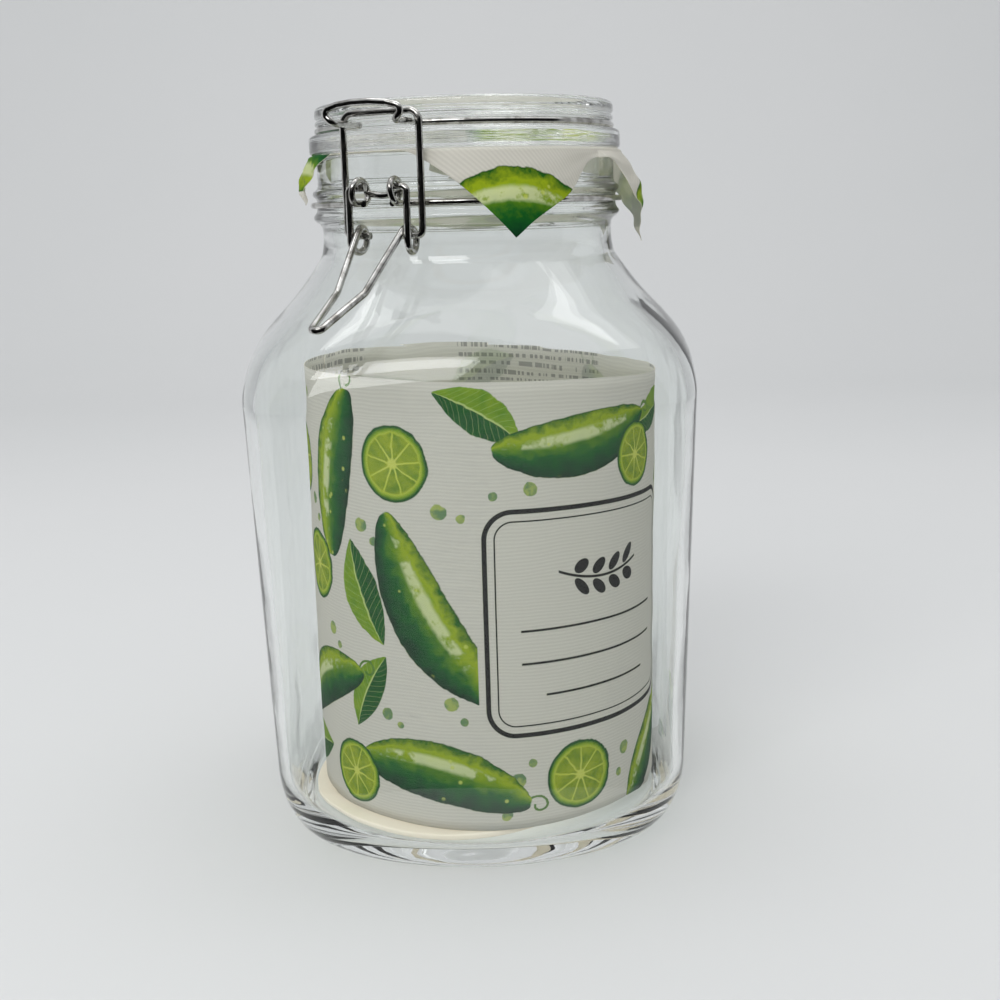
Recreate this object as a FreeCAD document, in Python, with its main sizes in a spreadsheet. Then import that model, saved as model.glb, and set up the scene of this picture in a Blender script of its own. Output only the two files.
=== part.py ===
import FreeCAD, Part
import math
import os
import Sketcher
from FreeCAD import Placement, Rotation, Vector

# Clip-top storage jar, millimetres, +Z up, origin under the middle of the base.
# The glass faces look along X and Y. The clip sits at clip_angle, measured from -Y towards +X.
# "Out" means away from the jar's axis in the clip's own plane, "across" means along the clip's width.

VALUES = {
    # glass body
    "body_half": 75.6,
    "heel_in": 3.5,
    "foot_in": 10.0,
    "heel_level": 30.0,
    "corner_round": 29.0,
    "face_round": 300.0,
    "foot_corner": 58.0,
    "foot_round": 80.0,
    "wall": 3.6,
    "floor_level": 7.0,
    "inner_heel": 5.5,
    "punt_in": 25.6,
    "punt_depth": 2.2,
    # neck and mouth, measured from the rim downwards and from the neck outwards
    "rim_level": 228.0,
    "shoulder_drop": 76.0,
    "neck_drop": 32.0,
    "band_drop": 15.4,
    "neck_radius": 49.4,
    "mouth_in": 3.9,
    "rim_out": 0.6,
    "seat_out": 1.2,
    "bead_out": 2.4,
    "lip_round": 1.4,
    # lid
    "lid_height": 15.4,
    "lid_gap": 0.6,
    "flange_out": 2.8,
    "flange_height": 6.3,
    "disc_out": 0.5,
    "disc_height": 3.6,
    "groove_width": 2.7,
    "groove_depth": 4.3,
    "dish_in": 7.4,
    "dish_depth": 2.4,
    # wires
    "ring_wire": 2.1,
    "band_wire": 2.0,
    "clip_wire": 2.2,
    "wire_gap": 0.3,
    "clip_angle": -27.0,
    # clip, across its width, outwards from the neck and downwards from the lever's pivot
    "pivot_out": 7.6,
    "coil_out": 4.2,
    "arm_drop": 14.4,
    "coil_round": 3.7,
    "eye_round": 3.6,
    "eye_across": 7.3,
    "arm_across": 10.2,
    "pin_end": 4.2,
    "kink_out": 26.4,
    "kink_drop": 31.7,
    "kink_across": 7.4,
    "tip_out": 44.1,
    "tip_drop": 39.6,
    "tip_round": 1.6,
    "bail_half": 13.4,
    "bar_gap": 1.15,
    "bail_corner": 3.4,
    "bail_foot": 1.9,
    "bail_pin": 5.2,
    # nose of the lid ring
    "nose_half": 10.7,
    "nose_flare": 14.6,
    "nose_out": 13.9,
    "nose_rise": 5.0,
    # rear hinge
    "hinge_half": 9.0,
    "hinge_out": 7.8,
    # paper and seal
    "roll_in": 13.2,
    "roll_height": 147.5,
    "roll_aside": 2.8,
    "roll_back": 2.0,
    "roll_turn": 128.0,
    "roll_lap": 34.0,
    "lap_gap": 0.5,
    "paper": 0.3,
    "seal_in": 23.2,
    "seal_width": 10.4,
    "seal_thick": 2.7,
    "cover_side": 106.3,
    "cover_turn": 12.5,
    "cover_shift": 8.3,
    "cover_aside": 65.0,
    "flap_out": 3.5,
}

HEEL = "(body_half - heel_in)"
FOOT = "(body_half - foot_in)"
PUNT = "(body_half - punt_in)"
WALL_TOP = "(rim_level - shoulder_drop)"
NECK_LEVEL = "(rim_level - neck_drop)"
BAND = "(rim_level - band_drop)"
MOUTH = "(neck_radius - mouth_in)"
RIM = "(neck_radius + rim_out)"
SEAT = "(neck_radius + seat_out)"
BEAD = "(neck_radius + bead_out)"
FLANGE = "(neck_radius + flange_out)"
DISC = "(neck_radius + disc_out)"
DISH = "(neck_radius - dish_in)"
LID_LOW = "(rim_level + lid_gap)"
FLANGE_TOP = "(rim_level + lid_gap + flange_height)"
LID_TOP = "(rim_level + lid_gap + lid_height)"
RING_LEVEL = "(rim_level + lid_gap + flange_height + groove_width / 2)"
RING_SEAT = "(neck_radius + flange_out - groove_depth + ring_wire / 2 + wire_gap / 2)"
EYE_LEVEL = "(rim_level - band_drop + eye_round)"
PIVOT_OUT = "(neck_radius + pivot_out)"
# the pin hangs in the eyelet just under its upper side
PIVOT_LEVEL = "(rim_level - band_drop + 2 * eye_round - band_wire / 2 - clip_wire / 2 - wire_gap)"
COIL_OUT = "(neck_radius + coil_out)"
FOOT_LEVEL = PIVOT_LEVEL[:-1] + " - arm_drop)"
BAR_LEVEL = RING_LEVEL[:-1] + " + ring_wire / 2 + clip_wire / 2 + bar_gap)"
NOSE_OUT = "(neck_radius + nose_out)"
HINGE_OUT = "(neck_radius + hinge_out)"
ROLL = "(body_half - roll_in)"
SEAL = "(body_half - seal_in)"
FLAP = "(neck_radius + flap_out)"

# How the shoulder closes from the body to the neck: share of its rise, share of its narrowing.
SHOULDER = [
    (0.04, 0.0017), (0.14, 0.020), (0.28, 0.075), (0.40, 0.175), (0.52, 0.335),
    (0.66, 0.560), (0.78, 0.730), (0.88, 0.855), (0.95, 0.938), (1.0, 0.975),
]
HEEL_TURNS = [90, 62, 34, 0]

doc = FreeCAD.newDocument("clip_top_jar")


def make_sheet():
    sheet = doc.addObject("Spreadsheet::Sheet", "sheet")
    for row, (alias, value) in enumerate(VALUES.items(), start=1):
        sheet.set("A%d" % row, alias)
        sheet.set("B%d" % row, str(value))
        sheet.setAlias("B%d" % row, alias)
    doc.recompute()
    return sheet


sheet = make_sheet()


def size(alias):
    return float(getattr(sheet, alias))


def bound(text):
    """An expression in words becomes one that names the sheet's cells."""
    words = sorted(VALUES, key=len, reverse=True)
    out = []
    token = ""
    for sign in text + " ":
        if sign.isalnum() or sign == "_":
            token += sign
            continue
        out.append("sheet." + token if token in words else token)
        out.append(sign)
        token = ""
    return "".join(out).strip()


def value_of(text):
    result = sheet.evalExpression(bound(text))
    return float(getattr(result, "Value", result))


# ---------------------------------------------------------------- sketches

def plane_of(body, role):
    for feature in body.Origin.OriginFeatures:
        if feature.Role == role:
            return feature
    raise ValueError(role)


def new_body(label):
    body = doc.addObject("PartDesign::Body", label)
    body.Label = label
    return body


def new_sketch(body, name, role, level="0"):
    sketch = body.newObject("Sketcher::SketchObject", name)
    sketch.AttachmentSupport = [(plane_of(body, role), "")]
    sketch.MapMode = "FlatFace"
    if level != "0":
        sketch.AttachmentOffset = Placement(Vector(0, 0, value_of(level)), Rotation())
        sketch.setExpression("AttachmentOffset.Base.z", bound(level))
    return sketch


def dimension(sketch, constraint, text):
    index = sketch.addConstraint(constraint)
    sketch.setExpression("Constraints[%d]" % index, bound(text))


def place_point(sketch, geo, pos, across, up):
    x, y = value_of(across), value_of(up)
    if across == "0":
        sketch.addConstraint(Sketcher.Constraint("PointOnObject", geo, pos, -2))
    else:
        dimension(sketch, Sketcher.Constraint("DistanceX", -1, 1, geo, pos, x), across)
    if up == "0":
        sketch.addConstraint(Sketcher.Constraint("PointOnObject", geo, pos, -1))
    else:
        dimension(sketch, Sketcher.Constraint("DistanceY", -1, 1, geo, pos, y), up)


def arc_through(start, end, radius, side):
    """Arc of a given radius from start to end; side +1 bulges to the left of the way, -1 to the right."""
    chord = end - start
    half = chord.Length / 2
    lift = math.sqrt(max(radius * radius - half * half, 0.0))
    left = Vector(-chord.y, chord.x, 0).normalize()
    centre = (start + end) / 2 - left * side * lift
    first, last = (end, start) if side > 0 else (start, end)
    begin = math.atan2(first.y - centre.y, first.x - centre.x)
    finish = math.atan2(last.y - centre.y, last.x - centre.x)
    return Part.ArcOfCircle(Part.Circle(centre, Vector(0, 0, 1), radius), begin, finish)


def outline(sketch, nodes, bends):
    """Closed outline from nodes (across, up); bends maps an edge number to (radius, side)."""
    points = [Vector(value_of(a), value_of(u), 0) for a, u in nodes]
    count = len(nodes)
    starts = []
    for i in range(count):
        here, there = points[i], points[(i + 1) % count]
        if i in bends:
            radius, side = bends[i]
            arc = arc_through(here, there, value_of(radius), side)
            geo = sketch.addGeometry(arc, False)
            # an arc's own first end may be either node, because arcs run anticlockwise
            curve = sketch.Geometry[geo]
            forward = curve.StartPoint.distanceToPoint(here) < 1e-6
            starts.append((geo, 1 if forward else 2, 2 if forward else 1))
        else:
            geo = sketch.addGeometry(Part.LineSegment(here, there), False)
            starts.append((geo, 1, 2))
    for i in range(count):
        geo, first, last = starts[i]
        following, entry, _ = starts[(i + 1) % count]
        sketch.addConstraint(Sketcher.Constraint("Coincident", geo, last, following, entry))
    for i, (across, up) in enumerate(nodes):
        place_point(sketch, starts[i][0], starts[i][1], across, up)
    for i, (radius, _) in bends.items():
        dimension(sketch, Sketcher.Constraint("Radius", starts[i][0], value_of(radius)), radius)


def rounded_square(sketch, half, corner, face):
    """Square with bulged faces: four shallow arcs joined by four tangent corner arcs."""
    a, r, f = value_of(half), value_of(corner), value_of(face)
    k = f - a
    c = (math.sqrt(2 * (f - r) ** 2 - k * k) - k) / 2
    turn = math.atan2(c, c + k)
    arcs = []
    for quarter in range(4):
        base = quarter * math.pi / 2
        centre = Vector(-k, 0, 0)
        spin = Rotation(Vector(0, 0, 1), math.degrees(base))
        face_circle = Part.Circle(spin.multVec(centre), Vector(0, 0, 1), f)
        arcs.append(Part.ArcOfCircle(face_circle, base - turn, base + turn))
        corner_circle = Part.Circle(spin.multVec(Vector(c, c, 0)), Vector(0, 0, 1), r)
        arcs.append(Part.ArcOfCircle(corner_circle, base + turn, base + math.pi / 2 - turn))
    sketch.addGeometry(arcs, False)
    for i in range(8):
        sketch.addConstraint(Sketcher.Constraint("Tangent", i, 2, (i + 1) % 8, 1))
    for i in (2, 4, 6):
        sketch.addConstraint(Sketcher.Constraint("Equal", 0, i))
        sketch.addConstraint(Sketcher.Constraint("Equal", 1, i + 1))
    shift = "(%s) - (%s)" % (face, half)
    dimension(sketch, Sketcher.Constraint("Radius", 0, f), face)
    dimension(sketch, Sketcher.Constraint("Radius", 1, r), corner)
    for i, axis, sign in ((0, "X", -1), (2, "Y", -1), (4, "X", 1), (6, "Y", 1)):
        on_axis = -1 if axis == "X" else -2
        sketch.addConstraint(Sketcher.Constraint("PointOnObject", i, 3, on_axis))
        text = "-(%s)" % shift if sign < 0 else shift
        dimension(sketch, Sketcher.Constraint("Distance" + axis, -1, 1, i, 3, sign * k), text)


def loft(body, kind, name, sections):
    feature = body.newObject("PartDesign::" + kind, name)
    feature.Profile = sections[0]
    feature.Sections = sections[1:]
    feature.Ruled = False
    for sketch in sections:
        sketch.Visibility = False
    return feature


def revolve(body, kind, name, sketch):
    feature = body.newObject("PartDesign::" + kind, name)
    feature.Profile = sketch
    feature.ReferenceAxis = (sketch, ["V_Axis"])
    feature.Angle = 360.0
    return feature


# ---------------------------------------------------------------- glass

def body_section(body, name, level, half, corner, face):
    sketch = new_sketch(body, name, "XY_Plane", level)
    rounded_square(sketch, half, corner, face)
    return sketch


def blend_round(first, second, share):
    """Radius whose curvature lies the given share of the way from one radius to the other."""
    return "1 / (%.4f / (%s) + %.4f / (%s))" % (1 - share, first, share, second)


def heel_sections(body, name, low, rise, half, turn_in, corner, open_out, face):
    """Quarter-round foot: sections from its flat edge up to the full width."""
    sections = []
    for q in HEEL_TURNS:
        back = 1 - math.cos(math.radians(q))
        climb = 1 - math.sin(math.radians(q))
        sections.append(body_section(
            body, "%s_heel_%d" % (name, q),
            "%s + %s * %.5f" % (low, rise, climb),
            "%s - %s * %.5f" % (half, turn_in, back),
            "%s + %s * %.5f" % (corner, open_out, back),
            blend_round(face, "foot_round", back)))
    return sections


def wall_sections(body, name, low, high, half_low, half_high, corner, face):
    return [
        body_section(body, name + "_wall_low", low, half_low, corner, face),
        body_section(body, name + "_wall_high", high, half_high, corner, face),
    ]


def shoulder_sections(body, name, low, half, neck, corner, face):
    """From the full width of the walls to the round neck, turning from square to round on the way."""
    sections = [body_section(body, name + "_shoulder", low, half, corner, face)]
    for i, (rise, close) in enumerate(SHOULDER):
        sections.append(body_section(
            body, "%s_shoulder_%d" % (name, i),
            "%s + (shoulder_drop - neck_drop) * %.3f" % (low, rise),
            "%s - (%s - %s) * %.4f" % (half, half, neck, close),
            "%s + (%s - 0.8 - %s) * %.3f" % (corner, neck, corner, rise),
            blend_round(face, "(%s + 1.6)" % neck, rise ** 2)))
    return sections


def neck_profile(sketch):
    """Neck with two beads and the seat of the band between them, up to the rounded rim."""
    nodes = [
        ("0", NECK_LEVEL + " - 8"),
        ("neck_radius - 1", NECK_LEVEL + " - 8"),
        ("neck_radius + 0.5", NECK_LEVEL + " - 2"),
        ("neck_radius - 0.4", NECK_LEVEL + " + 5"),
        ("neck_radius - 0.6", BAND + " - 6.9"),
        (BEAD, BAND + " - 4.4"),
        (SEAT, BAND + " - 1.6"),
        (SEAT, BAND + " + 1.6"),
        (RIM, BAND + " + 5"),
        (RIM, "rim_level - lip_round"),
        (RIM + " - lip_round", "rim_level"),
        ("0", "rim_level"),
    ]
    bends = {2: ("30", -1), 4: ("4", 1), 5: ("2.6", -1), 7: ("2.1", -1), 9: ("lip_round", -1)}
    outline(sketch, nodes, bends)


def make_jar():
    body = new_body("glass_jar")
    foot = heel_sections(body, "outer", "0", "heel_level", HEEL, "(foot_in - heel_in)",
                         "corner_round", "(foot_corner - corner_round)", "face_round")
    loft(body, "AdditiveLoft", "outer_foot", foot)
    walls = wall_sections(body, "outer", "heel_level", WALL_TOP, HEEL, "body_half",
                          "corner_round", "face_round")
    loft(body, "AdditiveLoft", "outer_walls", walls)
    shoulder = shoulder_sections(body, "outer", WALL_TOP, "body_half", "neck_radius",
                                 "corner_round", "face_round")
    loft(body, "AdditiveLoft", "outer_shoulder", shoulder)
    neck = new_sketch(body, "neck_outline", "XZ_Plane")
    neck_profile(neck)
    revolve(body, "Revolution", "outer_neck", neck)
    inside = ("(corner_round - wall)", "(face_round - wall)")
    heel_rise = "(heel_level - floor_level - 2)"
    heel_top = "(heel_level - 2)"
    wall_top = "(rim_level - shoulder_drop - wall * 0.5)"
    heel = heel_sections(body, "inner", "floor_level", heel_rise, HEEL + " - wall", "inner_heel",
                         inside[0], "(foot_corner - corner_round) * 0.9", inside[1])
    loft(body, "SubtractiveLoft", "inner_foot", heel)
    walls = wall_sections(body, "inner", heel_top, wall_top, "(%s - wall)" % HEEL, "(body_half - wall)",
                          inside[0], inside[1])
    loft(body, "SubtractiveLoft", "inner_walls", walls)
    shoulder = shoulder_sections(body, "inner", wall_top, "(body_half - wall)", MOUTH,
                                 inside[0], inside[1])
    loft(body, "SubtractiveLoft", "inner_shoulder", shoulder)
    bore = new_sketch(body, "mouth_bore_outline", "XZ_Plane")
    outline(bore, [
        ("0", NECK_LEVEL + " - 6"),
        (MOUTH, NECK_LEVEL + " - 6"),
        (MOUTH, "rim_level - lip_round"),
        (MOUTH + " + lip_round", "rim_level"),
        ("0", "rim_level"),
    ], {2: ("lip_round", 1)})
    revolve(body, "Groove", "mouth_bore", bore)
    punt = new_sketch(body, "punt_outline", "XZ_Plane")
    outline(punt, [
        ("0", "0"), (PUNT, "0"), ("0", "punt_depth"),
    ], {1: (PUNT + " * 11.4", -1)})
    revolve(body, "Groove", "punt", punt)
    return body


def make_lid():
    body = new_body("glass_lid")
    sketch = new_sketch(body, "lid_outline", "XZ_Plane")
    groove = FLANGE + " - groove_depth"
    shelf = FLANGE_TOP + " + groove_width"
    nodes = [
        ("0", LID_LOW),
        (FLANGE + " - 1", LID_LOW),
        (FLANGE, LID_LOW + " + 1"),
        (FLANGE, FLANGE_TOP + " - 1.2"),
        (FLANGE + " - 1.2", FLANGE_TOP),
        (groove, FLANGE_TOP),
        (groove, shelf),
        (DISC, shelf + " + 0.4"),
        (DISC, shelf + " + 1.7"),
        (DISC + " - 0.7", shelf + " + 2.3"),
        (DISC + " - 0.3", LID_TOP + " - disc_height + 0.6"),
        (DISC, LID_TOP + " - 1.6"),
        (DISC + " - 1.5", LID_TOP),
        (DISH + " + 1.5", LID_TOP),
        (DISH, LID_TOP + " - dish_depth"),
        ("0", LID_TOP + " - dish_depth"),
    ]
    bends = {1: ("1", -1), 3: ("1.2", -1), 7: ("1", -1), 11: ("1.6", -1)}
    outline(sketch, nodes, bends)
    revolve(body, "Revolution", "lid_turned", sketch)
    return body


def make_seal():
    body = new_body("seal_ring")
    sketch = new_sketch(body, "seal_outline", "XZ_Plane")
    outline(sketch, [
        (SEAL + " - seal_width", "0"),
        (SEAL + " - 0.8", "0"),
        (SEAL, "0.8"),
        (SEAL, "seal_thick"),
        (SEAL + " - seal_width", "seal_thick"),
    ], {1: ("0.8", -1)})
    revolve(body, "Revolution", "seal_turned", sketch)
    # pushed into one corner of the floor, as far as the rounded heel lets it
    shift = value_of("%s - wall - inner_heel * 1.15 - wire_gap - %s" % (HEEL, SEAL))
    body.Placement = Placement(Vector(-shift, -shift, size("floor_level") + 0.3), Rotation())
    return body


# ---------------------------------------------------------------- bent wire

def rounded(points, radii):
    """Straight runs through the points, with a tangent arc at each inner one."""
    edges = []
    last = points[0]
    for i in range(1, len(points) - 1):
        here = points[i]
        ahead = (points[i + 1] - here).normalize()
        behind = (here - points[i - 1]).normalize()
        turn = math.acos(max(-1.0, min(1.0, ahead.dot(behind))))
        back = radii[i - 1] * math.tan(turn / 2)
        start = here - behind * back
        end = here + ahead * back
        inward = (ahead - behind).normalize()
        reach = radii[i - 1] / math.cos(turn / 2)
        crown = here + inward * (reach - radii[i - 1])
        if start.distanceToPoint(last) > 1e-6:
            edges.append(Part.LineSegment(last, start))
        edges.append(Part.ArcOfCircle(start, crown, end))
        last = end
    if last.distanceToPoint(points[-1]) > 1e-6:
        edges.append(Part.LineSegment(last, points[-1]))
    return edges


def turned(start, heading, side, radius, degrees):
    """Arc that leaves start along heading and bends towards side; returns it with its end and heading."""
    angle = math.radians(degrees)
    centre = start + side * radius

    def at(a):
        return centre - side * radius * math.cos(a) + heading * radius * math.sin(a)

    arc = Part.ArcOfCircle(start, at(angle / 2), at(angle))
    return arc, at(angle), heading * math.cos(angle) + side * math.sin(angle)


def wire_solid(edges, diameter):
    """Round wire along lines and arcs: a cylinder or a turned disc for each, joined end to end."""
    pieces = []
    for edge in edges:
        if isinstance(edge, Part.LineSegment):
            way = edge.EndPoint - edge.StartPoint
            pieces.append(Part.makeCylinder(diameter / 2, way.Length, edge.StartPoint, way))
            continue
        shape = edge.toShape()
        centre = edge.Center
        axis = edge.Axis
        first = edge.StartPoint
        span = math.degrees(shape.Length / edge.Radius)
        heading = axis.cross(first - centre).normalize()
        disc = Part.Face(Part.Wire(Part.makeCircle(diameter / 2, first, heading)))
        pieces.append(disc.revolve(centre, axis, span))
    solid = pieces[0].multiFuse(pieces[1:]) if len(pieces) > 1 else pieces[0]
    return solid.removeSplitter()


def joined(solids):
    shape = solids[0].multiFuse(solids[1:]).removeSplitter()
    if len(shape.Solids) != 1 or shape.Volume < 0.96 * sum(s.Volume for s in solids):
        raise RuntimeError("wire runs do not join")
    return shape.Solids[0]


def mirrored(shape):
    """The same wire on the other side of the clip's middle plane."""
    return shape.mirror(Vector(0, 0, 0), Vector(1, 0, 0))


def rear(shape):
    """The same wire on the hinge side of the neck."""
    return shape.mirror(Vector(0, 0, 0), Vector(0, 1, 0))


def point(across, out, level):
    """Clip frame: X across, -Y out, Z up; the whole is turned by clip_angle afterwards."""
    return Vector(across, -out, level)


def clip_frame():
    return Placement(Vector(0, 0, 0), Rotation(Vector(0, 0, 1), size("clip_angle")))


def put(label, shape):
    feature = doc.addObject("Part::Feature", label)
    feature.Label = label
    feature.Shape = shape
    feature.Placement = clip_frame()
    return feature


def on_circle(across, radius, level):
    """Point of a ring at this distance from the middle plane, and the way round towards that plane."""
    lean = math.asin(across / radius)
    heading = Vector(-math.cos(lean), -math.sin(lean), 0)
    return point(across, radius * math.cos(lean), level), heading, lean


def eyelet(out, seat, level):
    """Coil at the end of the band: off the ring, outwards, once round upwards, a little inwards."""
    across = size("eye_across")
    radius = size("eye_round")
    lead = 2.4
    begin, heading, lean = on_circle((across + lead) / (1 + lead / seat), seat, level)
    aside = Vector(math.sin(lean), -math.cos(lean), 0)
    arc, end, heading = turned(begin, heading, aside, lead, 90 - math.degrees(lean))
    edges = [arc]
    here = point(across, out, level)
    edges.append(Part.LineSegment(end, here))
    tilt = math.asin((size("band_wire") + 0.15) / (4 * radius))
    heading = Vector(0, -1, 0)
    for up in (1, -1):
        side = Vector(-math.sin(tilt), 0, up * math.cos(tilt))
        arc, here, heading = turned(here, heading, side, radius, 180)
        edges.append(arc)
    return edges, begin


def cross_wire(out, seat, level):
    """Short wire between the two coils, curved like the neck."""
    across = size("eye_across") - size("band_wire") / 2
    bow = out - size("eye_round")
    rim = seat + 1.9
    middle = max(rim, bow)
    return Part.ArcOfCircle(point(-across, bow, level), point(0, middle + 0.1, level - 1.2), point(across, bow, level))


def make_band():
    wire = size("band_wire")
    level = value_of(BAND)
    seat = value_of(SEAT) + wire / 2 + 0.1
    pivot_out, hinge_out = value_of(PIVOT_OUT), value_of(HINGE_OUT)
    front_edges, begin = eyelet(pivot_out, seat, level)
    rear_edges, begin = eyelet(hinge_out, seat, level)
    side = Part.ArcOfCircle(begin, Vector(seat, 0, level), Vector(begin.x, -begin.y, level))
    half = [
        wire_solid(front_edges, wire),
        rear(wire_solid(rear_edges, wire)),
        wire_solid([side], wire),
    ]
    eye = value_of(EYE_LEVEL)
    crosses = [
        wire_solid([cross_wire(pivot_out, seat, eye)], wire),
        rear(wire_solid([cross_wire(hinge_out, seat, eye)], wire)),
    ]
    return put("neck_band", joined(half + [mirrored(s) for s in half] + crosses))


def make_lid_ring():
    """Wire in the lid's groove, with the nose at the front and two hinge legs at the rear."""
    wire = size("ring_wire")
    level = value_of(RING_LEVEL)
    seat = value_of(RING_SEAT)
    half = size("nose_half")
    lead = 2.2
    front, heading, lean = on_circle(half + lead, seat, level)
    corner = front + heading * (lead / math.cos(lean))
    top = level + size("nose_rise")
    out = value_of(NOSE_OUT)
    nose = rounded([
        front,
        corner,
        point(half, out, level),
        point(size("nose_flare"), out + 0.3, level + 3.4),
        point(half - 2.2, out + 0.6, top),
        point(3.0, out + 0.9, top + 0.5),
        point(0, out + 0.9, top + 0.5),
    ], [1.6, 1.9, 1.6, 3.0, 6.0])
    hinge = size("hinge_half")
    leg = value_of(HINGE_OUT)
    pin = value_of(PIVOT_LEVEL)
    back, heading, lean = on_circle(hinge + lead, seat, level)
    corner = back + heading * (lead / math.cos(lean))
    hook = rounded([
        back,
        corner,
        point(hinge + 1.4, leg, level),
        point(hinge + 1.4, leg, pin),
        point(size("pin_end"), leg, pin),
    ], [1.6, 2.2, 1.5])
    ring = Part.ArcOfCircle(front, Vector(seat, 0, level), Vector(back.x, -back.y, level))
    side = [wire_solid(nose, wire), wire_solid([ring], wire), rear(wire_solid(hook, wire))]
    return put("lid_ring", joined(side + [mirrored(s) for s in side]))


def coil_centre():
    """The lever's coil hangs on the bail's pin, which lies high inside it."""
    drop = size("coil_round") - size("clip_wire") - size("wire_gap")
    return Vector(0, -value_of(COIL_OUT), value_of(FOOT_LEVEL) - drop)


def make_lever():
    wire = size("clip_wire")
    radius = size("coil_round")
    across = size("arm_across")
    pivot = point(0, value_of(PIVOT_OUT), value_of(PIVOT_LEVEL))
    centre = coil_centre()
    # the arm runs from the pivot to the outer side of the coil, tangent to it
    out = -(centre.y - pivot.y)
    down = pivot.z - centre.z
    reach = math.hypot(out, down)
    lean = math.atan2(out, down) + math.asin(radius / reach)
    run = math.sqrt(reach ** 2 - radius ** 2)
    heading = Vector(0, -math.sin(lean), -math.cos(lean))
    touch = Vector(across, pivot.y, pivot.z) + heading * run
    bend = 1.5
    corner = Vector(across, pivot.y, pivot.z)
    edges = rounded([Vector(size("pin_end"), pivot.y, pivot.z), corner, touch], [bend])
    # round the coil: half a turn under it, then up and over to the handle's heading
    kink = point(size("kink_across"), size("neck_radius") + size("kink_out"), pivot.z - size("kink_drop"))
    top_reach = math.hypot(kink.y - centre.y, kink.z - centre.z)
    aim = math.atan2(kink.z - centre.z, -(kink.y - centre.y))
    leave = aim - math.asin(radius / top_reach)
    rest = 180 - (90 - math.degrees(lean)) - math.degrees(leave)
    swing = math.radians(rest)
    shift = wire + 0.12
    tilt = math.asin(shift / (radius * (2 + 1 - math.cos(swing))))
    inward = Vector(0, math.cos(lean), -math.sin(lean))
    side = inward * math.cos(tilt) + Vector(-math.sin(tilt), 0, 0)
    arc, here, heading = turned(touch, heading, side, radius, 180)
    edges.append(arc)
    side = inward * -math.cos(tilt) + Vector(-math.sin(tilt), 0, 0)
    arc, here, heading = turned(here, heading, side, radius, rest)
    edges.append(arc)
    # the handle: out to the kink, then in to the tip
    first = here + heading * (here.distanceToPoint(kink) - 2.0)
    tip = point(0, size("neck_radius") + size("tip_out"), pivot.z - size("tip_drop"))
    tip_side = Vector(size("tip_round"), tip.y, tip.z)
    edges += rounded([here, first, tip_side, tip], [6.0, size("tip_round")])
    half = wire_solid(edges, wire)
    return put("lever", joined([half, mirrored(half)]))


def make_bail():
    """Flat rectangular link, bent from one wire, with its feet turned in through the lever's coils."""
    body = new_body("bail")
    path = new_sketch(body, "bail_path", "XZ_Plane", COIL_OUT)
    foot = FOOT_LEVEL
    half, top, low = value_of("bail_half"), value_of(BAR_LEVEL), value_of(foot)
    corner, turn, pin = value_of("bail_corner"), value_of("bail_foot"), value_of("bail_pin")
    corners = [(pin, low), (half, low), (half, top), (-half, top), (-half, low), (-pin, low)]
    edges = rounded([Vector(x, y, 0) for x, y in corners], [turn, corner, corner, turn])
    path.addGeometry(edges, False)
    ends = []
    for i, edge in enumerate(edges):
        ends.append((i, edge))
    for i in range(len(edges) - 1):
        here, there = path.Geometry[i], path.Geometry[i + 1]
        joint = [(p, q) for p, a in ((1, here.StartPoint), (2, here.EndPoint))
                 for q, b in ((1, there.StartPoint), (2, there.EndPoint)) if a.distanceToPoint(b) < 1e-6][0]
        path.addConstraint(Sketcher.Constraint("Tangent", i, joint[0], i + 1, joint[1]))
    lines = [i for i, e in enumerate(edges) if isinstance(e, Part.LineSegment)]
    arcs = [i for i in range(len(edges)) if i not in lines]
    for i in (lines[0], lines[2], lines[4]):
        path.addConstraint(Sketcher.Constraint("Horizontal", i))
    for i in (lines[1], lines[3]):
        path.addConstraint(Sketcher.Constraint("Vertical", i))
    dimension(path, Sketcher.Constraint("Radius", arcs[0], turn), "bail_foot")
    dimension(path, Sketcher.Constraint("Radius", arcs[1], corner), "bail_corner")
    dimension(path, Sketcher.Constraint("Radius", arcs[2], corner), "bail_corner")
    dimension(path, Sketcher.Constraint("Radius", arcs[3], turn), "bail_foot")
    place_point(path, lines[0], 1, "bail_pin", foot)
    place_point(path, lines[4], 2, "-bail_pin", foot)
    dimension(path, Sketcher.Constraint("DistanceX", -1, 1, lines[1], 1, half), "bail_half")
    dimension(path, Sketcher.Constraint("DistanceX", -1, 1, lines[3], 1, -half), "-bail_half")
    dimension(path, Sketcher.Constraint("DistanceY", -1, 1, lines[2], 1, top), BAR_LEVEL)
    section = new_sketch(body, "bail_section", "YZ_Plane", "bail_pin")
    section.addGeometry(Part.Circle(Vector(-value_of(COIL_OUT), low, 0), Vector(0, 0, 1), size("clip_wire") / 2), False)
    place_point(section, 0, 3, "-" + COIL_OUT, foot)
    dimension(section, Sketcher.Constraint("Radius", 0, size("clip_wire") / 2), "clip_wire / 2")
    pipe = body.newObject("PartDesign::AdditivePipe", "bail_bent")
    pipe.Profile = section
    pipe.Spine = (path, ["Edge%d" % (i + 1) for i in range(len(edges))])
    body.Placement = clip_frame()
    return body


# ---------------------------------------------------------------- paper

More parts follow.
